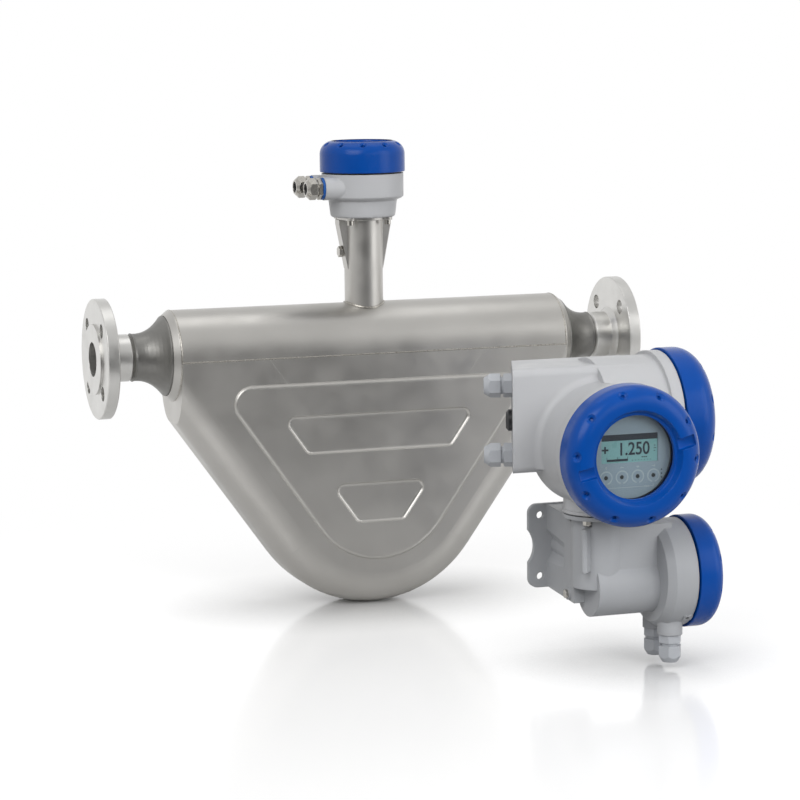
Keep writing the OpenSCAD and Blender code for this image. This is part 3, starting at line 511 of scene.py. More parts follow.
def choose(piece: bpy.types.Object) -> None:
    """Selects one piece alone and makes it the active one.

    Args:
        piece: The piece.
    """
    fresh()
    piece.select_set(True)
    bpy.context.view_layer.objects.active = piece


def turned(
    name: str, rings: list[tuple[float, float]], closed: bool = False, sides: int = 96
) -> bpy.types.Object:
    """Turns a piece about Z: one ring of edges, extruded and scaled step by step.

    Args:
        name: The piece's name.
        rings: Radius and height of each ring, in millimetres.
        closed: Whether the last ring joins the first.
        sides: The number of sides.

    Returns:
        The piece, its axis on Z.
    """
    fresh()
    bpy.ops.mesh.primitive_circle_add(
        vertices=sides, radius=rings[0][0] * MM, location=(0, 0, rings[0][1] * MM)
    )
    piece = bpy.context.object
    piece.name = name
    bpy.ops.object.transform_apply(location=True, rotation=True, scale=True)
    bpy.ops.object.mode_set(mode="EDIT")
    bpy.ops.mesh.select_all(action="SELECT")
    steps = rings[1:] + (rings[:1] if closed else [])
    for (r0, z0), (r1, z1) in zip(rings, steps):
        bpy.ops.mesh.extrude_region_move(
            TRANSFORM_OT_translate={"value": (0, 0, (z1 - z0) * MM)}
        )
        bpy.ops.transform.resize(
            value=(r1 / r0, r1 / r0, 1), center_override=(0, 0, 0)
        )
    bpy.ops.mesh.select_all(action="SELECT")
    bpy.ops.mesh.remove_doubles(threshold=MERGE_GAP * MM)
    bpy.ops.mesh.normals_make_consistent(inside=False)
    bpy.ops.object.mode_set(mode="OBJECT")
    return piece


def slab(
    name: str,
    low: tuple[float, float, float],
    high: tuple[float, float, float],
    round_mm: float = 0.0,
    turn_deg: float = 0.0,
) -> bpy.types.Object:
    """Makes a block between two corners, with rounded edges.

    Args:
        name: The piece's name.
        low: Its lowest corner, in millimetres.
        high: Its highest corner.
        round_mm: The radius of its edges.
        turn_deg: A turn about its own middle, round Z.

    Returns:
        The piece.
    """
    fresh()
    middle = [(a + b) / 2 * MM for a, b in zip(low, high)]
    bpy.ops.mesh.primitive_cube_add(
        size=1, location=middle, rotation=(0, 0, math.radians(turn_deg))
    )
    piece = bpy.context.object
    piece.name = name
    piece.scale = [(b - a) * MM for a, b in zip(low, high)]
    bpy.ops.object.transform_apply(location=True, rotation=True, scale=True)
    if round_mm:
        bpy.ops.object.mode_set(mode="EDIT")
        bpy.ops.mesh.select_all(action="SELECT")
        bpy.ops.mesh.bevel(offset=round_mm * MM, segments=3, affect="EDGES")
        bpy.ops.object.mode_set(mode="OBJECT")
    return piece


def place(
    piece: bpy.types.Object, spot: Vector, turn: tuple[float, float, float] = (0, 0, 0)
) -> None:
    """Puts a piece at its spot and leaves its object at the origin.

    Args:
        piece: The piece, made at the origin.
        spot: Its place, in metres.
        turn: Its turns about X, Y and Z, in degrees.
    """
    choose(piece)
    piece.rotation_euler = [math.radians(angle) for angle in turn]
    piece.location = spot
    bpy.ops.object.transform_apply(location=True, rotation=True, scale=True)


def join(name: str, pieces: list[bpy.types.Object]) -> bpy.types.Object:
    """Joins pieces into one.

    Args:
        name: The name of the joined piece.
        pieces: The pieces; the first takes in the others.

    Returns:
        The joined piece.
    """
    fresh()
    for piece in pieces:
        piece.select_set(True)
    bpy.context.view_layer.objects.active = pieces[0]
    bpy.ops.object.join()
    pieces[0].name = name
    return pieces[0]


def copy_of(piece: bpy.types.Object) -> bpy.types.Object:
    """Copies a piece with its own mesh.

    Args:
        piece: The piece to copy.

    Returns:
        The copy, in the same place.
    """
    twin = piece.copy()
    twin.data = piece.data.copy()
    bpy.context.scene.collection.objects.link(twin)
    return twin


def cut(piece: bpy.types.Object, cutter: bpy.types.Object) -> None:
    """Cuts one piece with another, which is then gone.

    Args:
        piece: The piece that is cut.
        cutter: The cutting piece.
    """
    choose(piece)
    knife = piece.modifiers.new("cut", "BOOLEAN")
    knife.operation = "DIFFERENCE"
    knife.solver = "EXACT"
    knife.object = cutter
    bpy.ops.object.modifier_apply(modifier=knife.name)
    bpy.data.objects.remove(cutter)


def settle(
    piece: bpy.types.Object,
    finish: Finish,
    body: str,
    smooth_deg: float = 32,
) -> None:
    """Smooths and dresses a finished piece and lets it ride.

    Args:
        piece: The piece, in place.
        finish: Its finish.
        body: The body that it rides on.
        smooth_deg: The sharpest angle that is shaded smooth.
    """
    choose(piece)
    bpy.ops.object.shade_smooth_by_angle(angle=math.radians(smooth_deg))
    dress_node(piece, finish.build())
    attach(piece, body)
    LOG.info("%s rides on %s", piece.name, body)


# ---------------------------------------------------------- screwed covers


class Facing(Enum):
    """Where a cover's outside looks, as turns in degrees about X, Y and Z."""

    UP = (0.0, 0.0, 0.0)
    FRONT = (90.0, 0.0, 0.0)
    RIGHT = (0.0, 90.0, 0.0)


@dataclass
class ScrewedCover:
    """A blue screwed cover with dimples for a hook wrench and two bar slots.

    Lengths are in millimetres, heights from the cover's seat. A cover with a window
    has the radius of its opening as sight and that of the glass as glass_seat.
    """

    node: str
    facing: Facing
    radius: float
    height: float
    shoulder: float
    rim: float
    dish: float
    dish_depth: float
    front: float
    sight: float = 0.0
    glass_seat: float = 0.0
    glass: float = 7.0
    phase_deg: float = -22.2
    spigot: float = 9.0
    spigot_wall: float = 5.0
    fit: float = 0.3
    thread_pitch: float = 1.5
    thread_depth: float = 0.55
    thread_crest: float = 0.25
    thread_root: float = 0.6
    thread_clear: float = 1.5
    dimples: int = 10
    dimple_r: float = 7.2
    dimple_out: float = 4.4
    hole_r: float = 2.3
    hole_depth: float = 5.0
    dimple_lean_deg: float = 38.0
    slot_w: float = 13.0
    slot_depth: float = 6.5
    slot_round: float = 2.0
    slot_reach: float = 0.45
    slot_over: float = 9.0
    dish_slope: float = 0.35
    lip_round: float = 0.8
    chamfer: float = 0.6
    arc_steps: int = 12

    def _thread(self, outer: float) -> list[tuple[float, float]]:
        """Lists the rings of the threaded spigot, from its foot to the seat.

        Args:
            outer: The thread's outer radius.

        Returns:
            Radius and height of each ring.
        """
        rings = [(outer - self.chamfer, -self.spigot)]
        z = -self.spigot + self.chamfer
        for _ in range(int((self.spigot - self.thread_clear) / self.thread_pitch)):
            rings += [
                (outer, z),
                (outer, z + self.thread_pitch * self.thread_crest),
                (outer - self.thread_depth, z + self.thread_pitch * self.thread_root),
            ]
            z += self.thread_pitch
        return rings + [(outer, rings[-1][1] + self.chamfer), (outer, 0.0)]

    def _outline(self) -> list[tuple[float, float]]:
        """Lists the rings of the section, from the spigot's foot round the outside.

        Returns:
            Radius and height of each ring.
        """
        top = self.height
        floor = top - self.dish_depth
        back = floor - self.front
        outer = self.radius - self.rim - self.fit
        inner = outer - self.spigot_wall
        rings = [(inner, -self.spigot)] + self._thread(outer)
        rings += [(self.radius - self.chamfer, 0.0), (self.radius, self.chamfer)]
        for i in range(self.arc_steps + 1):
            turn = math.radians(90 * i / self.arc_steps)
            rings.append(
                (
                    self.radius - self.shoulder * (1 - math.cos(turn)),
                    top - self.shoulder * (1 - math.sin(turn)),
                )
            )
        lip = self.dish + self.dish_depth * self.dish_slope
        bend = self.lip_round
        rings += [(lip + bend, top), (lip + 0.2, top - 0.2), (lip - 0.1, top - bend)]
        rings += [(self.dish + 0.3, floor + bend), (self.dish - 0.4, floor)]
        if self.sight:
            seat = back + self.glass
            rings += [(self.sight, floor), (self.sight, seat)]
            rings += [(self.glass_seat, seat), (self.glass_seat, back)]
        else:
            rings += [(POINT, floor), (POINT, back)]
        return rings + [(inner, back)]

    def _dimple(self) -> bpy.types.Object:
        """Makes the cutter of one dimple with the hole in its middle.

        Returns:
            The cutter, on the shoulder where X points.
        """
        edge = math.degrees(math.acos(self.hole_r / self.dimple_r))
        rings = [
            (POINT, -self.hole_depth),
            (self.hole_r - 0.4, -self.hole_depth),
            (self.hole_r, 0.4 - self.hole_depth),
        ]
        for i in range(self.arc_steps + 1):
            turn = math.radians(-edge + (edge + 89) * i / self.arc_steps)
            rings.append(
                (
                    self.dimple_r * math.cos(turn),
                    self.dimple_out + self.dimple_r * math.sin(turn),
                )
            )
        dimple = turned(self.node + "_dimple", rings + [(POINT, rings[-1][1])], sides=32)
        lean = math.radians(self.dimple_lean_deg)
        spot = Vector(
            (
                self.radius - self.shoulder * (1 - math.sin(lean)),
                0,
                self.height - self.shoulder * (1 - math.cos(lean)),
            )
        )
        place(dimple, spot * MM, (0, self.dimple_lean_deg, 0))
        return dimple

    def _cutter(self) -> bpy.types.Object:
        """Makes all dimples and both slots as one cutting piece.

        Returns:
            The joined cutter.
        """
        first = self._dimple()
        step = 360 / self.dimples
        tools = []
        for i in range(self.dimples):
            twin = copy_of(first)
            place(twin, Vector(), (0, 0, (i + 0.5) * step + self.phase_deg))
            tools.append(twin)
        bpy.data.objects.remove(first)
        for turn in (0, 180):
            reach = self.radius - self.shoulder * self.slot_reach
            bar = slab(
                self.node + "_bar",
                (self.dish - 1, -self.slot_w / 2, self.height - self.slot_depth),
                (reach, self.slot_w / 2, self.height + self.slot_over),
                round_mm=self.slot_round,
            )
            place(bar, Vector(), (0, 0, turn + step + self.phase_deg))
            tools.append(bar)
        return join(self.node + "_tools", tools)

    def build(self) -> None:
        """Turns the cover, cuts it, sets it in place and dresses it."""
        piece = turned(self.node + "_turned", self._outline(), closed=True, sides=144)
        cut(piece, self._cutter())
        low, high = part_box(self.node)
        middle = (low + high) / 2
        if self.facing is Facing.UP:
            middle.z = low.z + self.spigot * MM
        elif self.facing is Facing.FRONT:
            middle.y = high.y - self.spigot * MM
        else:
            middle.x = low.x + self.spigot * MM
        place(piece, middle, self.facing.value)
        settle(piece, BLUE_LACQUER, self.node + "_cap")
        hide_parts(self.node)


COVERS = [
    ScrewedCover(
        "junction_box_cover", Facing.UP, radius=54, height=39, shoulder=17, rim=8,
        dish=35, dish_depth=9, front=5, phase_deg=19.0, dimple_r=6.2, dimple_out=3.8,
        slot_w=11, slot_depth=6,
    ),
    ScrewedCover(
        "display_cover", Facing.FRONT, radius=80, height=36, shoulder=20, rim=13,
        dish=50, dish_depth=9, front=12, sight=47, glass_seat=54,
    ),
    ScrewedCover(
        "side_cover", Facing.RIGHT, radius=80, height=42, shoulder=24, rim=13,
        dish=46, dish_depth=8, front=6,
    ),
    ScrewedCover(
        "base_cover", Facing.RIGHT, radius=65, height=32, shoulder=15, rim=11,
        dish=38, dish_depth=7, front=5, dimple_r=6.6,
    ),
]


# ----------------------------------------------------------- display face


@dataclass
class DisplayFace:
    """The print on the front foil and the figures on the display.

    All is drawn flat, with X to the right and Y upwards from the foil's middle.
    """

    body: str = METER
    print_t: float = 0.12
    lcd_w: float = 68.0
    lcd_low: float = -8.0
    lcd_high: float = 24.0
    header_h: float = 7.2
    digits: str = "1.250"
    digit_size: float = 19.0
    digit_swell: float = 0.35
    digit_stretch: tuple[float, float, float] = (0.92, 1.05, 1)
    digit_spot: tuple[float, float] = (5.5, 0.4)
    sign_spot: tuple[float, float] = (-29.0, 6.9)
    sign_size: float = 8.0
    sign_w: float = 2.0
    bar_x: float = -27.0
    bar_l: float = 25.5
    bar_h: float = 2.6
    tick_xs: tuple[float, ...] = (-27.0, -14.2, -1.9)
    dash_x: float = 3.5
    dash_pitch: float = 3.6
    dashes: int = 7
    unit_widths: tuple[float, ...] = (2.2, 3.0, 1.8)
    unit_in: float = 4.4
    unit_top: float = 9.2
    unit_pitch: float = 3.0
    block_x: float = 15.0
    block_pitch: float = 2.4
    blocks: int = 3
    keys: int = 4
    key_pitch: float = 19.0
    key_z: float = -24.0
    ring_r: float = 7.6
    ring_w: float = 1.3
    ring_gap: float = 3.4
    eye_r: float = 2.2
    eye_depth: float = 1.4
    mark_up: float = 1.9
    mark_w: float = 0.8
    bracket_down: float = 4.4
    bracket_w: float = 0.5
    bracket_h: float = 2.6
    dot_x: float = 37.4
    dot_pitch: float = 4.4
    dot_up: float = 5.5

    def _mark(
        self, x: float, y: float, width: float, height: float, turn_deg: float = 0.0
    ) -> bpy.types.Object:
        """Makes one printed oblong.

        Args:
            x: Its left edge, in millimetres.
            y: Its lower edge.
            width: Its width.
            height: Its height.
            turn_deg: A turn about its own middle.

        Returns:
            The oblong, as thick as the print.
        """
        high = (x + width, y + height, self.print_t)
        return slab("mark", (x, y, 0), high, turn_deg=turn_deg)

    def _key_xs(self) -> list[float]:
        """Lists the middles of the keys."""
        return [(i - (self.keys - 1) / 2) * self.key_pitch for i in range(self.keys)]

    def _figures(self) -> bpy.types.Object:
        """Makes the value with its sign, as solid figures.

        Returns:
            The joined figures.
        """
        fresh()
        bpy.ops.object.text_add(location=(0, 0, 0))
        value = bpy.context.object
        value.data.body = self.digits
        value.data.size = self.digit_size * MM
        value.data.extrude = self.print_t / 2 * MM
        value.data.offset = self.digit_swell * MM
        value.data.align_x = "CENTER"
        bpy.ops.object.convert(target="MESH")
        value = bpy.context.object
        value.scale = self.digit_stretch
        place(value, Vector((*self.digit_spot, self.print_t / 2)) * MM)
        x, y = self.sign_spot
        long, thin = self.sign_size, self.sign_w
        across = self._mark(x - long / 2, y - thin / 2, long, thin)
        down = self._mark(x - thin / 2, y - long / 2, thin, long)
        return join("display_value", [value, across, down])

    def _bars(self) -> bpy.types.Object:
        """Makes the header bar, the bar graph and its marks.

        Returns:
            The joined bars.
        """
        half = self.lcd_w / 2
        low = self.lcd_low
        bar = low + 1.6
        parts = [
            self._mark(-half, self.lcd_high - self.header_h, self.lcd_w, self.header_h),
            self._mark(self.bar_x, bar, self.bar_l, self.bar_h),
        ]
        for x in self.tick_xs:
            parts.append(self._mark(x, bar + self.bar_h, 0.5, 2.4))
        for i in range(self.dashes):
            x = self.dash_x + i * self.dash_pitch
            parts.append(self._mark(x, bar + 0.2, 1.2, 0.6))
        for i, width in enumerate(self.unit_widths):
            y = self.unit_top - i * self.unit_pitch
            parts.append(self._mark(half - self.unit_in, y, width, 0.7))
        for i in range(self.blocks):
            x = self.block_x + i * self.block_pitch
            parts.append(self._mark(x, bar + 3.0, 1.6, 1.2))
        return join("display_bars", parts)

    def _key_ring(self, x: float) -> bpy.types.Object:
        """Makes the ring round one key, open at its lower side.

        Args:
            x: The key's middle.

        Returns:
            The ring.
        """
        inner = self.ring_r - self.ring_w
        t = self.print_t
        ring = turned(
            "key_ring",
            [(inner, 0), (self.ring_r, 0), (self.ring_r, t), (inner, t)],
            closed=True,
            sides=64,
        )
        half = self.ring_gap / 2
        cut(ring, slab("key_gap", (-half, -self.ring_r - 1, -1), (half, -3.0, 1)))
        place(ring, Vector((x, self.key_z, 0)) * MM)
        return ring

    def _key_print(self) -> bpy.types.Object:
        """Makes the open rings, the marks over them and the bracket below.

        Returns:
            The joined print.
        """
        xs = self._key_xs()
        half = self.mark_w / 2
        y = self.key_z + self.ring_r + self.mark_up
        parts = []
        for x in xs:
            parts.append(self._key_ring(x))
        parts.append(self._mark(xs[0] - half, y, self.mark_w, 2.6, 30))
        parts.append(self._mark(xs[0] - half, y + 1, self.mark_w, 2.2, -30))
        for x, side in zip(xs[1:], (-1.3, 0, 1.3)):
            parts.append(self._mark(x - 1.9, y + 1, 3.8, self.mark_w))
            parts.append(self._mark(x + side - half, y, self.mark_w, 2.8))
        low = self.key_z - self.ring_r - self.bracket_down
        left, right = xs[0], xs[-1]
        thin, tall = self.bracket_w, self.bracket_h
        parts.append(self._mark(left, low, right - 12 - left, thin))
        parts.append(self._mark(left, low, thin, tall))
        parts.append(self._mark(right - thin, low, thin, tall))
        parts.append(self._mark(right - 4, low, 4, thin))
        for i in range(3):
            parts.append(self._mark(right - 11 + i * 2.2, low - 0.6, 1.4, 1.8))
        return join("key_print", parts)

    def _key_eyes(self) -> bpy.types.Object:
        """Makes the dark eyes of the touch keys, which fill their holes in the foil.

        Returns:
            The joined eyes, with the three dots beside the last key.
        """
        deep = -self.eye_depth
        parts = []
        for x in self._key_xs():
            eye = turned(
                "key_eye",
                [
                    (POINT, deep), (self.eye_r, deep), (self.eye_r, -0.3),
                    (self.eye_r - 0.3, 0), (POINT, 0),
                ],
                sides=32,
            )
            place(eye, Vector((x, self.key_z, 0)) * MM)
            parts.append(eye)
        for i in range(3):
            y = self.key_z + self.dot_up - i * self.dot_pitch
            parts.append(self._mark(self.dot_x, y, 1.6, 1.3))
        return join("key_eyes", parts)

    def build(self) -> None:
        """Builds all print and figures and stands them upright on their surfaces."""
        low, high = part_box("display_bezel")
        foil = Vector(((low.x + high.x) / 2, low.y, (low.z + high.z) / 2))
        lcd_low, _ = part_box("lcd_panel")
        glass = Vector((foil.x, lcd_low.y, foil.z))
        for piece, front, finish, slot in (
            (self._figures(), glass, LCD_INK, "lcd"),
            (self._bars(), glass, LCD_INK, "lcd"),
            (self._key_print(), foil, KEY_RING, "faceplate_grey"),
            (self._key_eyes(), foil, BLACK_PLASTIC, "black_plastic"),
        ):
            place(piece, front, Facing.FRONT.value)
            settle(piece, finish, self.body)


# ------------------------------------------------------------------ welds


@dataclass
class Welds:
    """The weld beads on the casing: long seams, end rings and the stem's foot."""

    body: str = METER
    slot: str = "stainless_casing"
    casing_r: float = 57.0
    seam_drop: float = 3.5
    seam_r: float = 0.9
    seam_ripple: float = 2.0
    seam_swell: float = 0.12
    ring_r: float = 1.0
    ring_in: float = 0.4
    stem_r: float = 24.9
    foot_r: float = 1.5
    foot_ripples: int = 120
    foot_swell: float = 0.22
    foot_lift: float = 0.3

    def _seams(self) -> bpy.types.Object:
        """Makes the two long seams between upper shell and pans.

        Returns:
            The joined beads.
        """
        low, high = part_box("casing_top_shell")
        length = (high.x - low.x) / MM
        reach = math.sqrt(self.casing_r**2 - self.seam_drop**2)
        rings = [(POINT, 0), (self.seam_r, 0.5)]
        for i in range(1, int(length / self.seam_ripple)):
            swell = 1 + self.seam_swell * (i % 2)
            rings.append((self.seam_r * swell, 0.5 + i * self.seam_ripple))
        rings.append((POINT, length))
        parts = []
        for side in (-1, 1):
            bead = turned("seam", rings, sides=12)
            spot = Vector((low.x, side * reach * MM, -self.seam_drop * MM))
            place(bead, spot, Facing.RIGHT.value)
            parts.append(bead)
        return join("casing_seam_welds", parts)

    def _end_rings(self) -> bpy.types.Object:
        """Makes the weld round each end of the casing.

        Returns:
            The joined rings.
        """
        low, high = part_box("casing_top_shell")
        parts = []
        for x in (low.x, high.x):
            fresh()
            bpy.ops.mesh.primitive_torus_add(
                major_radius=(self.casing_r - self.ring_in) * MM,
                minor_radius=self.ring_r * MM,
                major_segments=128,
                minor_segments=10,
                location=(x, 0, 0),
                rotation=(0, math.pi / 2, 0),
            )
            parts.append(bpy.context.object)
            bpy.ops.object.transform_apply(location=True, rotation=True, scale=True)
        return join("casing_end_welds", parts)

    def _stem_foot(self) -> bpy.types.Object:
        """Lays a rippled bead round the stem's foot, on the round of the casing.

        Returns:
            The bead.
        """
        low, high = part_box("stem")
        fresh()
        bpy.ops.mesh.primitive_circle_add(
            vertices=self.foot_ripples,
            radius=self.stem_r * MM,
            location=((low.x + high.x) / 2, 0, high.z),
        )
        bead = bpy.context.object
        bead.name = "stem_foot_weld"
        bpy.ops.object.transform_apply(location=True, rotation=True, scale=True)
        wrap = bead.modifiers.new("lay", "SHRINKWRAP")
        wrap.target = bpy.data.objects["casing_top_shell"]
        wrap.wrap_method = "PROJECT"
        wrap.use_project_z = True
        wrap.use_negative_direction = True
        wrap.use_positive_direction = False
        wrap.offset = self.foot_lift * MM
        bpy.ops.object.modifier_apply(modifier=wrap.name)
        bpy.ops.object.convert(target="CURVE")
        bead.data.bevel_depth = self.foot_r * MM
        bead.data.bevel_resolution = 2
        for spline in bead.data.splines:
            for i, point in enumerate(spline.points):
                point.radius = 1.0 - self.foot_swell * (i % 2)
        bpy.ops.object.convert(target="MESH")
        return bead

    def build(self) -> None:
        """Builds all weld beads."""
        for piece in (self._seams(), self._end_rings(), self._stem_foot()):
            settle(piece, WELD_METAL, self.body)


# ---------------------------------------------------------- housing corner


@dataclass
class HousingCorner:
    """The wall that closes the housing's upper back corner behind the side cover.

    Lengths along the barrel run from the cover's seat, the others from its axis.
    """

    body: str = METER
    barrel_r: float = 73.0
    barrel_l: float = 30.0
    rim_r: float = 77.5
    rim_l: float = 14.0
    bore_r: float = 68.0
    back: float = 30.0
    up: float = 40.0
    end_t: float = 5.0
    end_back: tuple[float, float] = (36.0, 51.0)
    end_up: tuple[float, float] = (52.0, 64.0)
    proud: float = 0.03
    past: float = 100.0

    def _wall(self, seat: Vector) -> bpy.types.Object:
        """Turns a ring over barrel and rim and keeps its upper back part.

        Args:
            seat: The middle of the cover's seat.

        Returns:
            The curved wall.
        """
        outer = self.barrel_r + self.proud
        rim = self.rim_r + self.proud
        start = -self.barrel_l - 1
        step = -self.rim_l - self.proud
        wall = turned(
            "wall",
            [
                (self.bore_r, start), (outer, start), (outer, step),
                (rim, step), (rim, -self.proud), (self.bore_r, -self.proud),
            ],
            closed=True,
            sides=192,
        )
        place(wall, seat, Facing.RIGHT.value)
        for high in ((self.past, self.back, self.past), (self.past, self.past, self.up)):
            rest = slab("rest", (-self.past, -self.past, -self.past), high)
            place(rest, seat)
            cut(wall, rest)
        return wall

    def build(self) -> None:
        """Closes the barrel with a curved wall and the box's end with a flat one."""
        low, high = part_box("side_cover_seal")
        seat = Vector((low.x, (low.y + high.y) / 2, (low.z + high.z) / 2))
        end = slab(
            "end",
            (-self.barrel_l - self.end_t, self.end_back[0], self.end_up[0]),
            (self.proud - self.barrel_l, self.end_back[1], self.end_up[1]),
        )
        place(end, seat)
        corner = join("housing_corner", [self._wall(seat), end])
        settle(corner, LIGHT_GREY_COAT, self.body)


# ------------------------------------------------------------------ studio


@dataclass(frozen=True)
class SoftBox:
    """One soft box: its place and size in metres, its power in watts.

    Where shown is false, gloss and metal don't mirror it.
    """

    name: str
    place: tuple[float, float, float]
    size: tuple[float, float]
    watts: float
    shown: bool = True


SOFT_BOXES = [
    SoftBox("key_softbox", (-1.8, -2.3, 2.0), (2.2, 2.2), 52),
    SoftBox("fill_softbox", (2.6, -2.2, 0.9), (1.6, 2.2), 16),
    SoftBox("front_softbox", (1.0, -3.2, 0.9), (1.8, 1.2), 34, shown=False),
    SoftBox("top_softbox", (0.4, 0.3, 2.6), (2.2, 1.4), 8),
]


@dataclass
class Studio:
    """Camera, floor, lamps and white surround, with lengths in metres."""

    camera_place: tuple[float, float, float] = (-0.789, -3.503, 0.433)
    heading_deg: float = 18.78
    pitch_deg: float = 7.78
    roll_deg: float = -0.62
    lens_mm: float = 130.5
    sensor_mm: float = 36.0
    aim: tuple[float, float, float] = (0.4, -0.2, -0.05)
    room_level: float = 0.135
    paper_level: float = 1.0
    ceiling_level: float = 0.75
    ceiling_rise: tuple[float, float] = (0.15, 0.85)
    paper_facing: tuple[float, float] = (1.0, 0.2)
    world_lamp: float = 0.42
    floor_lamp: float = 0.15
    floor_size: float = 60.0
    floor_gap: float = 0.0005
    floor_lift: float = 0.28
    floor_reach: tuple[float, float] = (0.45, 1.1)
    floor_tone: float = 0.86
    floor_dull_tone: float = 0.4
    floor_roughness: float = 0.14
    shade_reach: float = 0.16
    shade_span: tuple[float, float] = (0.62, 0.97)

    def build_camera(self) -> None:
        """Places the camera at the viewing angle."""
        data = bpy.data.cameras.new("studio_camera")
        data.lens = self.lens_mm
        data.sensor_width = self.sensor_mm
        data.clip_end = 50
        camera = bpy.data.objects.new("studio_camera", data)
        bpy.context.scene.collection.objects.link(camera)
        turn = (
            Matrix.Rotation(-math.radians(self.heading_deg), 4, "Z")
            @ Matrix.Rotation(math.pi / 2 - math.radians(self.pitch_deg), 4, "X")
            @ Matrix.Rotation(math.radians(self.roll_deg), 4, "Z")
        )
        camera.matrix_world = Matrix.Translation(self.camera_place) @ turn
        bpy.context.scene.camera = camera

    def surround(
        self, tree: bpy.types.NodeTree, way: bpy.types.NodeSocket
    ) -> bpy.types.NodeSocket:
        """Makes the brightness that metal and gloss see: dark room, white paper.

        Args:
            tree: The tree of the floor or the world.
            way: The socket with the direction away from the object.

        Returns:
            The socket with the brightness.
        """
        flat = add_node(
            tree, "ShaderNodeVectorMath", {0: way, 1: (1, 1, 0)}, operation="MULTIPLY"
        )
        unit = add_node(
            tree, "ShaderNodeVectorMath", {0: flat.outputs[0]}, operation="NORMALIZE"
        )
        turn = math.radians(self.heading_deg)
        facing = add_node(
            tree,
            "ShaderNodeVectorMath",
            {0: unit.outputs[0], 1: (-math.sin(turn), -math.cos(turn), 0)},
            operation="DOT_PRODUCT",
        )
        levels = (self.room_level, self.paper_level)
        side = ramp(
            tree, facing.outputs["Value"], self.paper_facing, levels, smooth=True
        )
        height = add_node(tree, "ShaderNodeSeparateXYZ", {0: way}).outputs["Z"]
        rise = ramp(tree, height, self.ceiling_rise, smooth=True)
        return add_node(
            tree, "ShaderNodeMix", {0: rise, 2: side, 3: self.ceiling_level}
        ).outputs[0]

    def glow(
        self, tree: bpy.types.NodeTree, way: bpy.types.NodeSocket, lamp: float
    ) -> bpy.types.NodeSocket:
        """Makes light that is white to the eye, shaded in gloss and dim as a lamp.

        Args:
            tree: The tree of the floor or the world.
            way: The socket with the direction away from the object.
            lamp: The strength with which it lights dull surfaces.

        Returns:
            The socket with the strength.
        """
        path = add_node(tree, "ShaderNodeLightPath")
        seen = add_node(
            tree,
            "ShaderNodeMath",
            {0: path.outputs["Is Camera Ray"], 1: path.outputs["Is Transmission Ray"]},
            operation="MAXIMUM",
        )
        gloss = add_node(
            tree,
            "ShaderNodeMix",
            {0: path.outputs["Is Glossy Ray"], 2: lamp, 3: self.surround(tree, way)},
        )
        return add_node(
            tree, "ShaderNodeMix", {0: seen.outputs[0], 2: gloss.outputs[0], 3: 1.0}
        ).outputs[0]

    def _floor_paint(self, tree: bpy.types.NodeTree) -> bpy.types.NodeSocket:
        """Makes the floor near the object, which keeps its lamp shadow and its mirror
        image; its glow fades by ambient occlusion, a painted shade under the object.

        Args:
            tree: The floor's tree.

        Returns:
            The socket with the shader.
        """
        path = add_node(tree, "ShaderNodeLightPath")
        # Painted shade: the glow that lifts the floor to white fades where ambient
        # occlusion finds the object near
        shade = add_node(
            tree, "ShaderNodeAmbientOcclusion", {"Distance": self.shade_reach}, samples=8
        )
        glow = (0.0, self.floor_lift)
        lit = ramp(tree, shade.outputs["AO"], self.shade_span, glow)
        lift = add_node(
            tree,
            "ShaderNodeMath",
            {0: path.outputs["Is Camera Ray"], 1: lit},
            operation="MULTIPLY",
        )
        sharp = add_node(
            tree,
            "ShaderNodeMath",
            {0: path.outputs["Is Camera Ray"], 1: path.outputs["Is Glossy Ray"]},
            operation="MAXIMUM",
        )
        tone = add_node(
            tree,
            "ShaderNodeMix",
            {
                0: sharp.outputs[0],
                6: (*[self.floor_dull_tone] * 3, 1),
                7: (*[self.floor_tone] * 3, 1),
            },
            data_type="RGBA",
        )
        return add_node(
            tree,
            "ShaderNodeBsdfPrincipled",
            {
                "Base Color": tone.outputs[2],
                "Roughness": self.floor_roughness,
                "Emission Color": (1, 1, 1, 1),
                "Emission Strength": lift.outputs[0],
            },
        ).outputs[0]

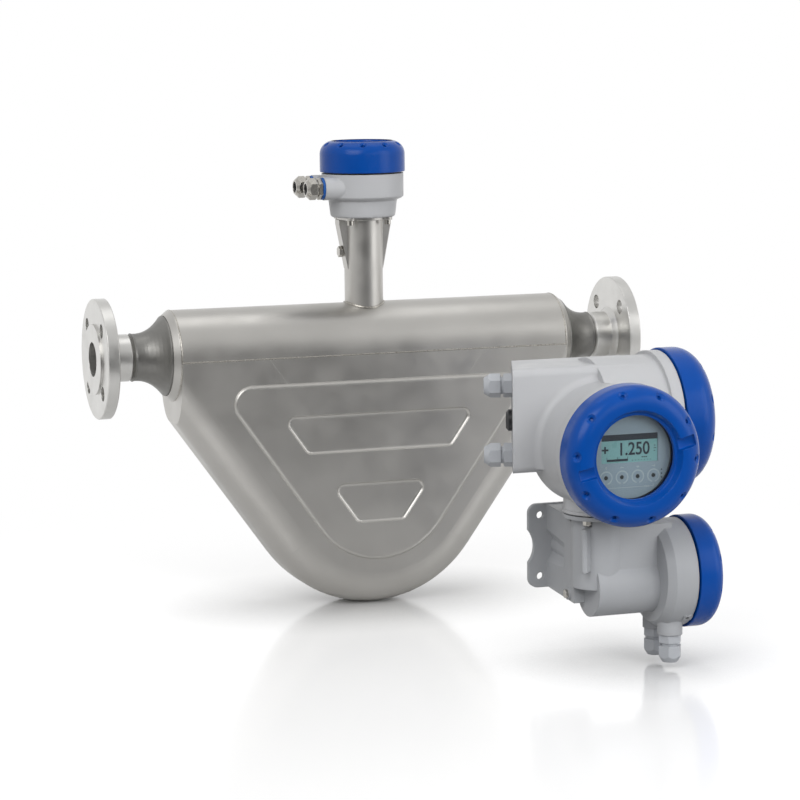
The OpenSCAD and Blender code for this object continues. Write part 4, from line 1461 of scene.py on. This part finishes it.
    def build_floor(self) -> None:
        """Makes the white floor, which glows to white away from the object."""
        low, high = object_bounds()
        centre = (low + high) / 2
        bpy.ops.mesh.primitive_plane_add(
            size=self.floor_size, location=(centre.x, centre.y, low.z - self.floor_gap)
        )
        floor = bpy.context.object
        floor.name = "studio_floor"
        material = bpy.data.materials.new("studio_floor_paint")
        tree = empty_tree(material)
        way = add_node(tree, "ShaderNodeTexCoord").outputs["Object"]
        reach = add_node(tree, "ShaderNodeVectorMath", {0: way}, operation="LENGTH")
        far = ramp(tree, reach.outputs["Value"], self.floor_reach, smooth=True)
        glow = add_node(
            tree,
            "ShaderNodeEmission",
            {"Strength": self.glow(tree, way, self.floor_lamp)},
        )
        mixed = add_node(
            tree,
            "ShaderNodeMixShader",
            {0: far, 1: self._floor_paint(tree), 2: glow.outputs[0]},
        )
        add_node(tree, "ShaderNodeOutputMaterial", {"Surface": mixed.outputs[0]})
        floor.data.materials.append(material)
        floor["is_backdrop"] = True

    def build_surround(self) -> None:
        """Makes the world: white to the eye, a shaded room in gloss, dim as a lamp."""
        world = bpy.data.worlds.new("studio_surround")
        bpy.context.scene.world = world
        tree = empty_tree(world)
        way = add_node(tree, "ShaderNodeTexCoord").outputs["Generated"]
        light = add_node(
            tree,
            "ShaderNodeBackground",
            {"Color": (1, 1, 1, 1), "Strength": self.glow(tree, way, self.world_lamp)},
        )
        add_node(tree, "ShaderNodeOutputWorld", {"Surface": light.outputs[0]})

    def add_lamp(self, box: SoftBox) -> None:
        """Adds one soft box.

        Args:
            box: The soft box.
        """
        data = bpy.data.lights.new(box.name, "AREA")
        data.shape = "RECTANGLE"
        data.size, data.size_y = box.size
        data.energy = box.watts
        lamp = bpy.data.objects.new(box.name, data)
        bpy.context.scene.collection.objects.link(lamp)
        lamp.location = box.place
        way = Vector(self.aim) - Vector(box.place)
        lamp.rotation_mode = "QUATERNION"
        lamp.rotation_quaternion = way.to_track_quat("-Z", "Y")
        lamp.visible_glossy = box.shown

    def build(self) -> None:
        """Builds the whole studio."""
        self.build_camera()
        self.build_floor()
        self.build_surround()
        for box in SOFT_BOXES:
            self.add_lamp(box)
        bpy.context.scene.view_settings.view_transform = "Standard"


def main() -> None:
    """Loads the frame, dresses it and builds the studio."""
    logging.basicConfig(level=logging.INFO, format="%(message)s")
    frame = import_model()
    Studio().build()
    for cover in COVERS:
        cover.build()
    DisplayFace().build()
    Welds().build()
    HousingCorner().build()
    for finish, names in FINISHED_NODES.items():
        for name in names:
            dress_node(frame["nodes"][name], finish.build())
    dress_node(frame["nodes"]["display_window"], window_glass())


if __name__ == "__main__":
    main()
